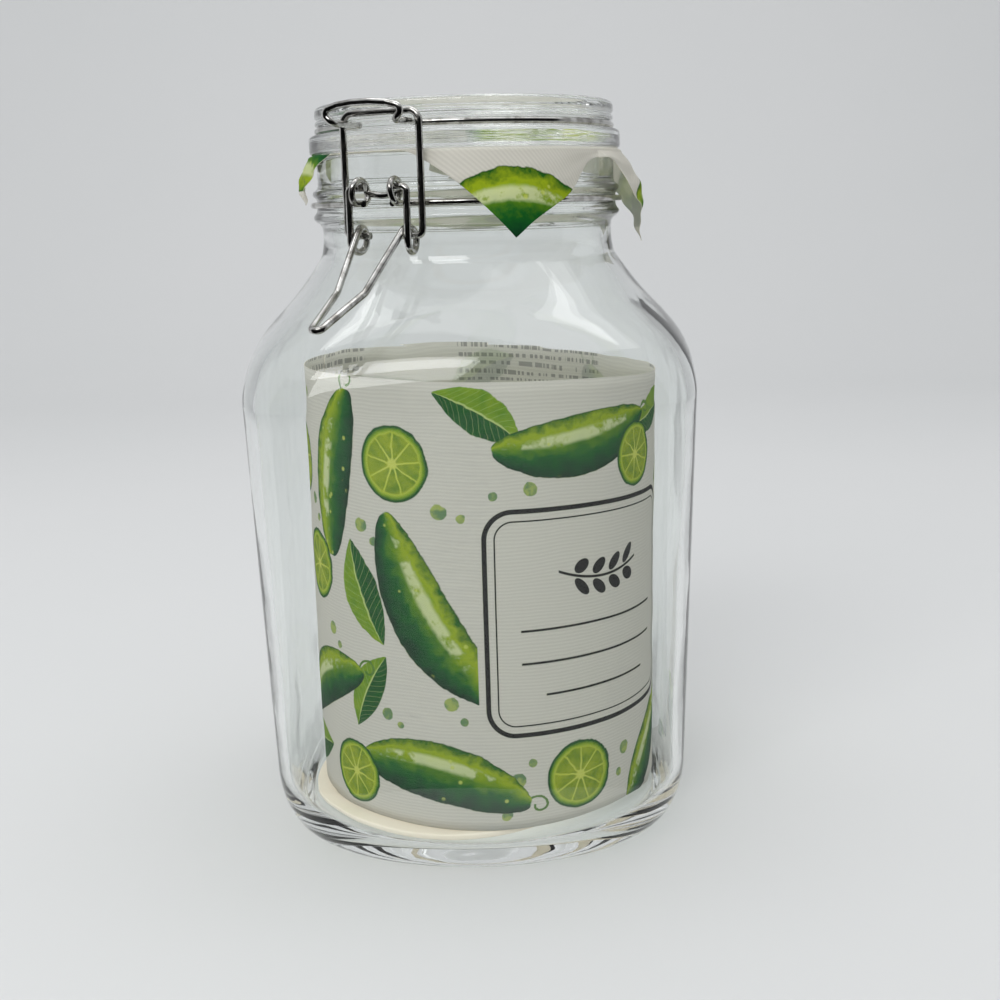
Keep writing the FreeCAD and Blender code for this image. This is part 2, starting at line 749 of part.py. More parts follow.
def make_roll():
    """Printed sheet rolled once round inside the jar: half turns of shrinking radius with a lapped end."""
    body = new_body("paper_roll")
    sketch = new_sketch(body, "roll_outline", "XY_Plane")
    step = "(paper + lap_gap)"
    turns = [(ROLL, 0, 180), (None, 180, 360), ("%s - %s" % (ROLL, step), 0, size("roll_lap"))]
    for inset in ("0", "paper"):
        for text, start, end in turns:
            reach = "%s - %s" % (text or "%s - %s / 2" % (ROLL, step), inset)
            centre = Vector(0 if text else -value_of(step) / 2, 0, 0)
            circle = Part.Circle(centre, Vector(0, 0, 1), value_of(reach))
            arc = Part.ArcOfCircle(circle, math.radians(start), math.radians(end))
            index = sketch.addGeometry(arc, False)
            sketch.addConstraint(Sketcher.Constraint("PointOnObject", index, 3, -1))
            if text:
                sketch.addConstraint(Sketcher.Constraint("PointOnObject", index, 3, -2))
                sketch.addConstraint(Sketcher.Constraint("PointOnObject", index, 1, -1))
                dimension(sketch, Sketcher.Constraint("Radius", index, value_of(reach)), reach)
    for base in (0, 3):
        sketch.addConstraint(Sketcher.Constraint("PointOnObject", base, 2, -1))
        sketch.addConstraint(Sketcher.Constraint("Coincident", base, 2, base + 1, 1))
        sketch.addConstraint(Sketcher.Constraint("Coincident", base + 1, 2, base + 2, 1))
    for outer, pos in ((0, 1), (2, 2)):
        a = sketch.getPoint(outer, pos)
        b = sketch.getPoint(outer + 3, pos)
        line = sketch.addGeometry(Part.LineSegment(a, b), False)
        sketch.addConstraint(Sketcher.Constraint("Coincident", line, 1, outer, pos))
        sketch.addConstraint(Sketcher.Constraint("Coincident", line, 2, outer + 3, pos))
    lap = sketch.addGeometry(Part.LineSegment(Vector(0, 0, 0), sketch.getPoint(5, 2)), True)
    sketch.addConstraint(Sketcher.Constraint("Coincident", lap, 1, -1, 1))
    sketch.addConstraint(Sketcher.Constraint("PointOnObject", 5, 2, lap))
    sketch.addConstraint(Sketcher.Constraint("PointOnObject", 2, 2, lap))
    dimension(sketch, Sketcher.Constraint("Angle", -1, 1, lap, 1, math.radians(size("roll_lap"))), "roll_lap")
    pad = body.newObject("PartDesign::Pad", "roll_height_pad")
    pad.Profile = sketch
    pad.setExpression("Length", bound("roll_height"))
    shift = Vector(size("roll_aside"), size("roll_back"), 0)
    bottom = size("floor_level") + 0.3 + size("seal_thick") + 0.3
    body.Placement = Placement(shift + Vector(0, 0, bottom), Rotation(Vector(0, 0, 1), size("roll_turn")))
    return body


def flap_box(name, turn, drop):
    """Square corner pointing down, as deep as the flap hangs, that reaches through the tube's wall."""
    box = doc.addObject("Part::Box", name)
    box.setExpression("Length", bound("cover_side"))
    box.setExpression("Width", bound(FLAP + " + 5"))
    box.setExpression("Height", bound("cover_side"))
    level = size("rim_level") + 0.3 - drop
    stand = Rotation(Vector(0, 1, 0), -45)
    face = Rotation(Vector(0, 0, 1), turn + 180)
    box.Placement = Placement(Vector(0, 0, level), face.multiply(stand))
    return box


def make_cover():
    """Paper square laid over the mouth: flat under the lid, its four corners folded down outside."""
    turn = size("cover_turn")
    sheet_level = size("rim_level") + 0.15
    slide_turn = Rotation(Vector(0, 0, 1), turn + size("cover_aside"))
    slide = slide_turn.multVec(Vector(0, -size("cover_shift"), 0))
    square = doc.addObject("Part::Box", "cover_square")
    square.setExpression("Length", bound("cover_side"))
    square.setExpression("Width", bound("cover_side"))
    square.setExpression("Height", bound("paper"))
    half = size("cover_side") / 2
    spin = Rotation(Vector(0, 0, 1), turn + 45)
    corner = spin.multVec(Vector(-half, -half, 0)) + slide
    square.Placement = Placement(Vector(corner.x, corner.y, sheet_level), spin)
    disc = doc.addObject("Part::Cylinder", "cover_disc")
    disc.setExpression("Radius", bound(FLAP + " + paper"))
    disc.setExpression("Height", bound("paper"))
    disc.Placement = Placement(Vector(0, 0, sheet_level), Rotation())
    flat = doc.addObject("Part::Common", "cover_flat")
    flat.Base = square
    flat.Tool = disc
    depth = size("cover_side")
    tube_outer = doc.addObject("Part::Cylinder", "flap_tube_outer")
    tube_outer.setExpression("Radius", bound(FLAP + " + paper"))
    tube_outer.setExpression("Height", bound("rim_level / 4"))
    tube_inner = doc.addObject("Part::Cylinder", "flap_tube_inner")
    tube_inner.setExpression("Radius", bound(FLAP))
    tube_inner.setExpression("Height", bound("rim_level / 4"))
    base = sheet_level + size("paper") - size("rim_level") / 4
    for tube in (tube_outer, tube_inner):
        tube.Placement = Placement(Vector(0, 0, base), Rotation())
    tube = doc.addObject("Part::Cut", "flap_tube")
    tube.Base = tube_outer
    tube.Tool = tube_inner
    reach = depth / math.sqrt(2)
    boxes = []
    for i in range(4):
        azimuth = turn + 90 * i
        toward = Rotation(Vector(0, 0, 1), azimuth).multVec(Vector(0, -1, 0))
        drop = reach + slide.dot(toward) - value_of(FLAP)
        boxes.append(flap_box("flap_box_%d" % i, azimuth, drop))
    corners = doc.addObject("Part::MultiFuse", "flap_corners")
    corners.Shapes = boxes
    flaps = doc.addObject("Part::Common", "flaps")
    flaps.Base = tube
    flaps.Tool = corners
    cover = doc.addObject("Part::MultiFuse", "paper_cover")
    cover.Label = "paper_cover"
    cover.Shapes = [flat, flaps]
    cover.Refine = True
    return cover


def centre_on_box(parts):
    """Move the whole so that the box round it stands with the middle of its base on the origin."""
    boxes = [part.Shape.optimalBoundingBox(False) for part in parts]
    low_x, high_x = min(b.XMin for b in boxes), max(b.XMax for b in boxes)
    low_y, high_y = min(b.YMin for b in boxes), max(b.YMax for b in boxes)
    shift = Vector(-(low_x + high_x) / 2, -(low_y + high_y) / 2, -min(b.ZMin for b in boxes))
    print("box x %.3f %.3f y %.3f %.3f shift %.3f %.3f %.3f" % (
        low_x, high_x, low_y, high_y, shift.x, shift.y, shift.z))
    for part in parts:
        part.Placement = Placement(shift, Rotation()).multiply(part.Placement)
    doc.recompute()


def main():
    parts = [
        make_jar(), make_lid(), make_seal(), make_roll(), make_cover(),
        make_band(), make_lid_ring(), make_lever(), make_bail(),
    ]
    doc.recompute()
    centre_on_box(parts)
    faults = [o.Name for o in doc.Objects if "Invalid" in o.State or "Error" in o.State]
    if faults:
        raise RuntimeError("failed objects: " + ", ".join(faults))
    for part in parts:
        shape = part.Shape
        if shape.isNull() or not shape.isValid() or not shape.Solids:
            raise RuntimeError("bad shape: " + part.Label)
    os.makedirs("parts", exist_ok=True)
    for part in parts:
        box = part.Shape.BoundBox
        print("%-12s solids %d volume %9.1f  x %.1f %.1f  y %.1f %.1f  z %.1f %.1f" % (
            part.Label, len(part.Shape.Solids), part.Shape.Volume,
            box.XMin, box.XMax, box.YMin, box.YMax, box.ZMin, box.ZMax))
        part.Shape.exportStep("parts/%s.step" % part.Label)


main()
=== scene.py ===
import bpy
import math
import numpy as np
from mathutils import Matrix, Vector


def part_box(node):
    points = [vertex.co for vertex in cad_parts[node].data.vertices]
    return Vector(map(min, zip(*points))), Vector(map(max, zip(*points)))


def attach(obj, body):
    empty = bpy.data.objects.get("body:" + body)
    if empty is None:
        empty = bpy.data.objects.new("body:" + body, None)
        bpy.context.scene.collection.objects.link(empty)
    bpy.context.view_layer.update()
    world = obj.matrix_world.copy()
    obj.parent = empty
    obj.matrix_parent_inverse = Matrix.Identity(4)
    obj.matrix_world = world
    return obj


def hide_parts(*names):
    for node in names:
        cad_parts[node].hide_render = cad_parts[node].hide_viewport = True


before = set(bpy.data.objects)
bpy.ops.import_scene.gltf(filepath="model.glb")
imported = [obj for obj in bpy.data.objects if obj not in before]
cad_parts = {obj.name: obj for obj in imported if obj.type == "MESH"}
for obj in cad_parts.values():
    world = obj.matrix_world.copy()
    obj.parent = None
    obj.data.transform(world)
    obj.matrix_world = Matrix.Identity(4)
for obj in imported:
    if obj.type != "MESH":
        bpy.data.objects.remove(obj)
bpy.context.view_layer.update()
mm = 0.001
lidLow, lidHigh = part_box("glass_lid")
axisPoint = Vector(((lidLow[0] + lidHigh[0]) / 2, (lidLow[1] + lidHigh[1]) / 2, 0))  # the jar's own axis
print("frame loaded, jar axis at y %.2f mm" % (axisPoint.y / mm))


# meshes

def meshObject(name, points, faces, smooth=True):
    mesh = bpy.data.meshes.new(name)
    mesh.from_pydata([tuple(p) for p in points], [], [tuple(f) for f in faces])
    mesh.validate()
    mesh.polygons.foreach_set("use_smooth", [smooth] * len(mesh.polygons))
    mesh.update()
    thing = bpy.data.objects.new(name, mesh)
    bpy.context.scene.collection.objects.link(thing)
    return thing


# Closed skin over rings of equal count; the first and last ring shrink to one point each.
def shellFromRings(name, rings):
    count = len(rings[1])
    points, faces = [rings[0][0]], []
    for ring in rings[1:-1]:
        points.extend(ring)
    points.append(rings[-1][0])
    rows = len(rings) - 2
    last = len(points) - 1
    for i in range(count):
        j = (i + 1) % count
        faces.append((0, 1 + j, 1 + i))
        for row in range(rows - 1):
            a, b = 1 + row * count, 1 + (row + 1) * count
            faces.append((a + i, a + j, b + j, b + i))
        top = 1 + (rows - 1) * count
        faces.append((top + i, top + j, last))
    return meshObject(name, points, faces)


# Smooth line through the points, with slopes from their neighbours.
def smoothCurve(xs, ys, x):
    xs, ys = np.asarray(xs, float), np.asarray(ys, float)
    slopes = np.gradient(ys, xs)
    slopes[0] = 0
    i = np.clip(np.searchsorted(xs, x) - 1, 0, len(xs) - 2)
    gap = xs[i + 1] - xs[i]
    u = (x - xs[i]) / gap
    return ((2 * u**3 - 3 * u**2 + 1) * ys[i] + (u**3 - 2 * u**2 + u) * gap * slopes[i]
            + (-2 * u**3 + 3 * u**2) * ys[i + 1] + (u**3 - u**2) * gap * slopes[i + 1])


# jar body: the same walls, shoulder and neck as the frame, with many more rings so that it looks through cleanly

jarSizes = {
    "bodyHalf": 75.55, "heelIn": 3.5, "footIn": 10.0, "heelLevel": 30.0, "wallTop": 152.0, "neckLevel": 196.0,
    "cornerRound": 29.0, "faceRound": 300.0, "footCorner": 58.0, "footRound": 80.0, "wall": 3.6,
    "floor": 7.0, "floorCrown": 0.9, "innerHeel": 5.5, "punt": 50.0, "puntDepth": 2.2,
    "neck": 49.4, "mouth": 45.5, "rim": 50.0, "rimLevel": 228.0, "bandLevel": 212.6, "seat": 50.6, "bead": 51.8,
    "beadRound": 1.3, "lip": 1.4, "around": 256, "wave": 0.22,
}
# how the shoulder closes: share of its rise, share of its narrowing
shoulderLine = [(0, 0), (0.04, 0.0017), (0.14, 0.020), (0.28, 0.075), (0.40, 0.175), (0.52, 0.335),
                (0.66, 0.560), (0.78, 0.730), (0.88, 0.855), (0.95, 0.938), (1.0, 0.985)]
# the neck's waist: how far out of the neck's radius, and at which level
waistLine = [(-0.15, 198.5), (-0.4, 201), (-0.5, 203.5), (-0.3, 205.2)]
mouthLevels = (220, 212, 204, 198)


# Ring of a square with bulged faces and round corners, at one level.
def squareRing(z, half, corner, face, bump=None):
    count = jarSizes["around"]
    angle = np.arange(count) * 2 * math.pi / count
    fold = np.abs((angle + math.pi / 4) % (math.pi / 2) - math.pi / 4)
    k = face - half
    c = (math.sqrt(2 * (face - corner) ** 2 - k * k) - k) / 2
    turn = math.atan2(c, c + k)
    change = math.atan2(face * math.sin(turn), face * math.cos(turn) - k)
    flat = -k * np.cos(fold) + np.sqrt(face**2 - (k * np.sin(fold)) ** 2)
    part = np.maximum(corner**2 - (c * (np.sin(fold) - np.cos(fold))) ** 2, 0)
    bend = c * (np.cos(fold) + np.sin(fold)) + np.sqrt(part)
    reach = np.where(fold < change, flat, bend)
    if bump is not None:
        reach = reach + bump(angle, z)
    return placeRing(angle, reach, z)


def roundRing(z, radius):
    count = jarSizes["around"]
    angle = np.arange(count) * 2 * math.pi / count
    return placeRing(angle, np.full(count, float(radius)), z)


def placeRing(angle, reach, z):
    return np.stack([axisPoint.x + reach * np.cos(angle) * mm, axisPoint.y + reach * np.sin(angle) * mm,
                     np.full(len(angle), z * mm)], axis=1)


def blendRound(first, second, share):
    return 1 / ((1 - share) / first + share / second)


def arcPoints(centre, radius, start, end, steps):
    return [(centre[0] + radius * math.cos(math.radians(a)), centre[1] + radius * math.sin(math.radians(a)))
            for a in np.linspace(start, end, steps)]


# Slow unevenness of the pressed inside, fading out at the mouth and the floor.
def glassWave(angle, z):
    j = jarSizes
    fade = np.clip((z - 14) / 25, 0, 1) * np.clip((192 - z) / 30, 0, 1)
    swell = (0.55 * np.sin(2 * angle + z / 55 + 0.6) + 0.5 * np.sin(5 * angle - z / 38 + 2.1)
             + 0.32 * np.sin(9 * angle + z / 21) + 0.2 * np.sin(z / 7.5 + 3 * np.sin(angle)))
    return swell * j["wave"] * fade


def jarRings():
    j = jarSizes
    heel, foot = j["bodyHalf"] - j["heelIn"], j["bodyHalf"] - j["footIn"]
    rings = [np.array([[axisPoint.x, axisPoint.y, j["puntDepth"] * mm]])]
    for share in np.linspace(0.06, 1, 14):  # hollow under the base
        rings.append(roundRing(j["puntDepth"] * (1 - share**2), j["punt"] * share))
    for share in (0.35, 0.75):  # flat ring it stands on
        inner, outer = roundRing(0, j["punt"]), squareRing(0, foot, j["footCorner"], j["footRound"])
        rings.append(inner + (outer - inner) * share)
    for q in np.linspace(90, 0, 15):  # rounded foot
        back, climb = 1 - math.cos(math.radians(q)), 1 - math.sin(math.radians(q))
        rings.append(squareRing(j["heelLevel"] * climb, heel - (j["footIn"] - j["heelIn"]) * back,
                                j["cornerRound"] + (j["footCorner"] - j["cornerRound"]) * back,
                                blendRound(j["faceRound"], j["footRound"], back)))
    for share in np.linspace(0, 1, 14)[1:]:  # walls
        rings.append(squareRing(j["heelLevel"] + (j["wallTop"] - j["heelLevel"]) * share,
                                heel + (j["bodyHalf"] - heel) * share, j["cornerRound"], j["faceRound"]))
    rise, close = zip(*shoulderLine)
    for r in np.linspace(0, 1, 30)[1:]:  # shoulder
        c = smoothCurve(rise, close, r)
        rings.append(squareRing(j["wallTop"] + (j["neckLevel"] - j["wallTop"]) * r,
                                j["bodyHalf"] - (j["bodyHalf"] - j["neck"]) * c,
                                j["cornerRound"] + (j["neck"] - 0.8 - j["cornerRound"]) * r,
                                blendRound(j["faceRound"], j["neck"] + 1.6, r**2)))
    band, top = j["bandLevel"], j["rimLevel"]
    beadIn, beadRound = j["bead"] - j["beadRound"], j["beadRound"]
    profile = [(j["neck"] + out, z) for out, z in waistLine]
    profile += [(j["neck"] + 0.4, band - 6.3), (j["bead"] - 0.9, band - 5.5)]
    profile += arcPoints((beadIn, band - 4.1), beadRound, -50, 55, 7)
    profile += [(j["seat"] + 0.15, band - 2.1), (j["seat"], band - 1.4), (j["seat"], band + 1.4),
                (j["seat"] + 0.15, band + 2.0)]
    profile += arcPoints((beadIn, band + 3.6), beadRound, -50, 60, 7)
    profile += [(j["rim"] + 0.3, band + 5.4), (j["rim"], band + 6.3), (j["rim"], 222), (j["rim"], top - j["lip"])]
    profile += arcPoints((j["rim"] - j["lip"], top - j["lip"]), j["lip"], 15, 90, 6)
    profile += arcPoints((j["mouth"] + j["lip"], top - j["lip"]), j["lip"], 90, 180, 6)
    profile += [(j["mouth"], z) for z in mouthLevels]
    rings += [roundRing(z, r) for r, z in profile]
    innerTop = j["wallTop"] - j["wall"] * 0.5
    half, corner, face = j["bodyHalf"] - j["wall"], j["cornerRound"] - j["wall"], j["faceRound"] - j["wall"]
    for r in np.linspace(1, 0, 30):  # inside of the shoulder
        c = smoothCurve(rise, close, r)
        rings.append(squareRing(innerTop + (j["neckLevel"] - j["wallTop"]) * r, half - (half - j["mouth"]) * c,
                                corner + (j["mouth"] - 0.8 - corner) * r,
                                blendRound(face, j["mouth"] + 1.6, r**2), glassWave))
    low, rise = j["heelLevel"] - 2, j["heelLevel"] - 2 - j["floor"]
    opening = (j["footCorner"] - j["cornerRound"]) * 0.9
    for share in np.linspace(1, 0, 24)[1:]:  # inner walls
        rings.append(squareRing(low + (innerTop - low) * share, heel - j["wall"] + (half - heel + j["wall"]) * share,
                                corner, face, glassWave))
    for q in np.linspace(0, 90, 16)[1:]:  # inner corner of the floor
        back, climb = 1 - math.cos(math.radians(q)), 1 - math.sin(math.radians(q))
        rings.append(squareRing(j["floor"] + rise * climb, heel - j["wall"] - j["innerHeel"] * back,
                                corner + opening * back, blendRound(face, j["footRound"], back)))
    floorEdge = squareRing(j["floor"], heel - j["wall"] - j["innerHeel"], corner + opening, j["footRound"])
    for share in np.linspace(1, 0.06, 16)[1:]:  # floor, a little higher in the middle
        ring = floorEdge.copy()
        middle = np.array(axisPoint.xy)
        ring[:, :2] = middle + (ring[:, :2] - middle) * share
        ring[:, 2] += (j["floorCrown"] * (1 - share**2)) * mm
        rings.append(ring)
    rings.append(np.array([[axisPoint.x, axisPoint.y, (j["floor"] + j["floorCrown"]) * mm]]))
    return rings


def makeJar():
    jar = shellFromRings("jarGlass", jarRings())
    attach(jar, "jar")
    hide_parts("glass_jar")
    return jar


# lid: turned profile from the middle of its underside round to the middle of its top

lidSizes = {"low": 228.6, "top": 244.0, "flange": 52.15, "flangeHigh": 234.9, "groove": 47.9, "grooveHigh": 237.6,
            "disc": 49.9, "dish": 42.0, "dishDepth": 2.4}


def makeLid():
    d = lidSizes
    profile = [(4, d["low"]), (30, d["low"]), (44, d["low"]), (50.4, d["low"])]
    profile += arcPoints((d["flange"] - 1.3, d["low"] + 1.3), 1.3, -75, 0, 6)
    profile += [(d["flange"], d["low"] + 3.2)]
    profile += arcPoints((d["flange"] - 1.5, d["flangeHigh"] - 1.5), 1.5, 0, 85, 7)
    profile += [(d["groove"] + 0.8, d["flangeHigh"]), (d["groove"] + 0.15, d["flangeHigh"] + 0.25),
                (d["groove"], d["flangeHigh"] + 0.9), (d["groove"], d["grooveHigh"] - 0.9),
                (d["groove"] + 0.15, d["grooveHigh"] - 0.25), (d["groove"] + 0.8, d["grooveHigh"])]
    profile += arcPoints((d["disc"] - 0.9, d["grooveHigh"] + 1.0), 0.9, -70, 60, 6)
    profile += [(d["disc"] - 0.6, d["grooveHigh"] + 2.1)]
    profile += arcPoints((d["disc"] - 1.0, d["grooveHigh"] + 3.4), 1.0, -60, 0, 5)
    profile += arcPoints((d["disc"] - 1.8, d["top"] - 1.8), 1.8, 8, 90, 7)
    profile += [(d["dish"] + 2.4, d["top"]), (d["dish"] + 1.6, d["top"] - 0.15), (d["dish"] + 0.9, d["top"] - 0.9),
                (d["dish"], d["top"] - d["dishDepth"] + 0.5), (d["dish"] - 1.0, d["top"] - d["dishDepth"]),
                (25, d["top"] - d["dishDepth"]), (4, d["top"] - d["dishDepth"])]
    rings = [np.array([[axisPoint.x, axisPoint.y, d["low"] * mm]])]
    rings += [roundRing(z, r) for r, z in profile]
    rings.append(np.array([[axisPoint.x, axisPoint.y, (d["top"] - d["dishDepth"]) * mm]]))
    lid = shellFromRings("lidGlass", rings)
    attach(lid, "jar")
    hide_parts("glass_lid")
    return lid


# seal ring lying on the floor

sealSizes = {"width": 10.4, "edge": 0.7, "around": 160, "wave": 0.12, "squash": 0.94}


def makeSeal():
    d = sealSizes
    low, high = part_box("seal_ring")
    centre = ((low[0] + high[0]) / 2, (low[1] + high[1]) / 2)
    outer, thick = (high[0] - low[0]) / 2 / mm, (high[2] - low[2]) / mm
    base = low[2] / mm
    inner, edge, count = outer - d["width"], d["edge"], d["around"]
    section = []
    for cx, cz, start in ((inner + edge, thick - edge, 90), (inner + edge, edge, 180),
                          (outer - edge, edge, 270), (outer - edge, thick - edge, 0)):
        section += arcPoints((cx, cz), edge, start, start + 90, 5)
    points, faces = [], []
    for i in range(count):
        angle = i * 2 * math.pi / count
        lift = d["wave"] * math.sin(3 * angle + 1)
        for r, z in section:
            points.append((centre[0] + r * math.cos(angle) * mm, centre[1] + r * math.sin(angle) * mm,
                           (base + z * d["squash"] + d["wave"] + lift) * mm))
    n = len(section)
    for i in range(count):
        for k in range(n):
            a, b = i * n, ((i + 1) % count) * n
            faces.append((a + k, b + k, b + (k + 1) % n, a + (k + 1) % n))
    seal = meshObject("sealRing", points, faces)
    bpy.context.view_layer.update()
    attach(seal, "jar")
    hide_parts("seal_ring")
    return seal


# paper: every sheet carries its own flat coordinates, in metres, as its UV map

# Sheet from a grid of points and its flat coordinates, with thickness on its second side.
def sheetObject(name, grid, flat, thickness, materials):
    rows, cols = grid.shape[:2]
    normal = np.cross(np.gradient(grid, axis=1), np.gradient(grid, axis=0))
    length = np.linalg.norm(normal, axis=2, keepdims=True)
    normal = normal / np.maximum(length, 1e-12)
    back = grid - normal * thickness
    points = np.concatenate([grid.reshape(-1, 3), back.reshape(-1, 3)])
    uvs = np.concatenate([flat.reshape(-1, 2), flat.reshape(-1, 2)])
    faces, slots = [], []
    size = rows * cols
    for r in range(rows - 1):
        for c in range(cols - 1):
            a = r * cols + c
            faces.append((a, a + 1, a + cols + 1, a + cols))
            slots.append(0)
            faces.append((size + a, size + a + cols, size + a + cols + 1, size + a + 1))
            slots.append(1)
    rim = [(0, c, 0, c + 1) for c in range(cols - 1)]
    rim += [(r, cols - 1, r + 1, cols - 1) for r in range(rows - 1)]
    rim += [(rows - 1, c + 1, rows - 1, c) for c in range(cols - 1)]
    rim += [(r + 1, 0, r, 0) for r in range(rows - 1)]
    for r0, c0, r1, c1 in rim:
        a, b = r0 * cols + c0, r1 * cols + c1
        faces.append((b, a, size + a, size + b))
        slots.append(2)
    sheet = meshObject(name, points, faces)
    mesh = sheet.data
    for material in materials:  # print, back, cut edge
        mesh.materials.append(material)
    mesh.polygons.foreach_set("material_index", slots)
    layer = mesh.uv_layers.new(name="flat")
    index = np.empty(len(mesh.loops), dtype=np.int32)
    mesh.loops.foreach_get("vertex_index", index)
    layer.data.foreach_set("uv", uvs[index].astype(np.float32).ravel())
    return sheet


rollSizes = {"radius": 62.35, "step": 0.8, "turn": 128.0, "lap": 34.0, "aside": 2.8, "back": 2.0, "low": 10.35,
             "high": 157.75, "lift": 1.2, "slope": 2.2, "paper": 0.2, "around": 420, "up": 40}


def makeRoll(materials):
    d = rollSizes
    phi = np.linspace(0, 360 + d["lap"], d["around"])
    half = d["step"] / 2  # the sheet winds in by one step a turn
    radius = np.where(phi < 180, d["radius"], np.where(phi < 360, d["radius"] - half, d["radius"] - d["step"]))
    shift = np.where((phi >= 180) & (phi < 360), -half, 0.0)
    x, y = radius * np.cos(np.radians(phi)) + shift, radius * np.sin(np.radians(phi))
    turn = math.radians(d["turn"])
    wx = axisPoint.x / mm + d["aside"] + x * math.cos(turn) - y * math.sin(turn)
    wy = axisPoint.y / mm + d["back"] + x * math.sin(turn) + y * math.cos(turn)
    along = np.concatenate([[0], np.cumsum(np.hypot(np.diff(wx), np.diff(wy)))])
    ripple = 0.35 * np.sin(along / 17) * np.sin(along / 41)
    top = d["high"] + d["lift"] - d["slope"] * wx / d["radius"] + ripple
    grid = np.zeros((d["up"], d["around"], 3))
    flat = np.zeros((d["up"], d["around"], 2))
    for r, share in enumerate(np.linspace(0, 1, d["up"])):
        grid[r, :, 0], grid[r, :, 1] = wx * mm, wy * mm
        grid[r, :, 2] = (d["low"] + (top - d["low"]) * share) * mm
        flat[r, :, 0], flat[r, :, 1] = along * mm, (d["high"] - d["low"]) * share * mm
    roll = sheetObject("paperRoll", grid, flat, d["paper"] * mm, materials)
    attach(roll, "jar")
    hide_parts("paper_roll")


coverSizes = {"side": 106.3, "turn": 8.8, "aside": 65.0, "shift": 8.3, "fold": 52.75, "level": 228.35, "paper": 0.15,
              "round": 1.1, "around": 480, "in": 12, "out": 60, "tuck": 0.72, "cornerHalf": 20, "cornerFade": 24,
              "settle": 7, "flare": (1.0, 7.0, 3.0, 4.0), "crumple": (0.25, 0.5, 0.8, 0.9)}


# Hangs a point of the flat square from the rim: lines of the sheet that run towards a corner hang straight down,
# and between the corners they turn smoothly to run outwards from the middle.
def hangPoint(place, corners):
    d = coverSizes
    rho, angle = float(np.hypot(*place)), math.atan2(place[1], place[0])
    radius = d["fold"]
    if rho < radius - d["round"]:
        return place[0], place[1], d["level"]
    best = max(range(4), key=lambda i: math.cos(angle - corners[i]))
    off = (angle - corners[best] + math.pi) % (2 * math.pi) - math.pi
    ahead, aside = rho * math.cos(off), rho * math.sin(off)
    inside = max(-0.98 * radius, min(0.98 * radius, aside))
    over = ahead - math.sqrt(radius**2 - inside**2)
    hang = corners[best] + math.asin(inside / radius)
    share = min(max((abs(math.degrees(off)) - d["cornerHalf"]) / d["cornerFade"], 0), 1)
    share = share * share * (3 - 2 * share)
    over = over * (1 - share) + (rho - radius) * share
    hang = hang * (1 - share) + (corners[best] + off) * share
    over += d["round"]
    bend = min(max(over, 0) / d["round"], math.pi / 2)
    drop = max(0.0, over - d["round"] * math.pi / 2)
    z = d["level"] - d["round"] * (1 - math.cos(bend)) - drop * (1 - d["tuck"] * share)
    out = radius - d["round"] + (d["round"] * math.sin(bend) if over > 0 else over)
    out += d["flare"][best] * (1 - math.exp(-drop / d["settle"])) * (1 - 0.5 * share)
    rough = d["crumple"][best] * min(drop / d["settle"], 1.3)
    out += rough * (math.sin(hang * 11 + drop * 0.16 + best) + 0.6 * math.sin(hang * 23 - drop * 0.31 + 2 * best)
                    + 0.35 * math.sin(drop * 0.9 + hang * 7))
    out = max(out, radius) if drop > 0 else out
    return out * math.cos(hang), out * math.sin(hang), z


def makeCover(materials):
    d = coverSizes
    half = d["side"] / 2
    spin = math.radians(d["turn"] + 45)
    way = math.radians(d["turn"] + d["aside"])
    slide = np.array([math.sin(way), -math.cos(way)]) * d["shift"]
    ux, uy = np.array([math.cos(spin), math.sin(spin)]), np.array([-math.sin(spin), math.cos(spin)])
    corners = [math.radians(d["turn"] - 90 + 90 * i) for i in range(4)]
    tips = [math.atan2(*(slide + (ux * i + uy * k) * half)[::-1]) % (2 * math.pi)
            for i in (-1, 1) for k in (-1, 1)]
    angle = np.unique(np.concatenate([np.linspace(0, 2 * math.pi, d["around"] + 1), tips]))
    rows = d["in"] + d["out"]
    grid, flat = np.zeros((rows, len(angle), 3)), np.zeros((rows, len(angle), 2))
    start = d["fold"] * 0.95
    for c, a in enumerate(angle):
        toward = np.array([math.cos(a), math.sin(a)])
        reach = min((half * np.sign(toward @ u) + slide @ u) / (toward @ u)
                    for u in (ux, uy) if abs(toward @ u) > 1e-9)
        knee = min(start, reach * 0.9)
        rhos = np.concatenate([np.linspace(0.5, knee, d["in"], endpoint=False), np.linspace(knee, reach, d["out"])])
        for r, rho in enumerate(rhos):
            x, y, z = hangPoint(toward * rho, corners)
            grid[r, c] = (axisPoint.x + x * mm, axisPoint.y + y * mm, z * mm)
            place = toward * rho - slide
            flat[r, c] = ((place @ ux + half) * mm, (place @ uy + half) * mm)
    cover = sheetObject("paperCover", grid[:, ::-1], flat[:, ::-1], d["paper"] * mm, materials)
    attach(cover, "jar")
    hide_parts("paper_cover")


# shader helpers

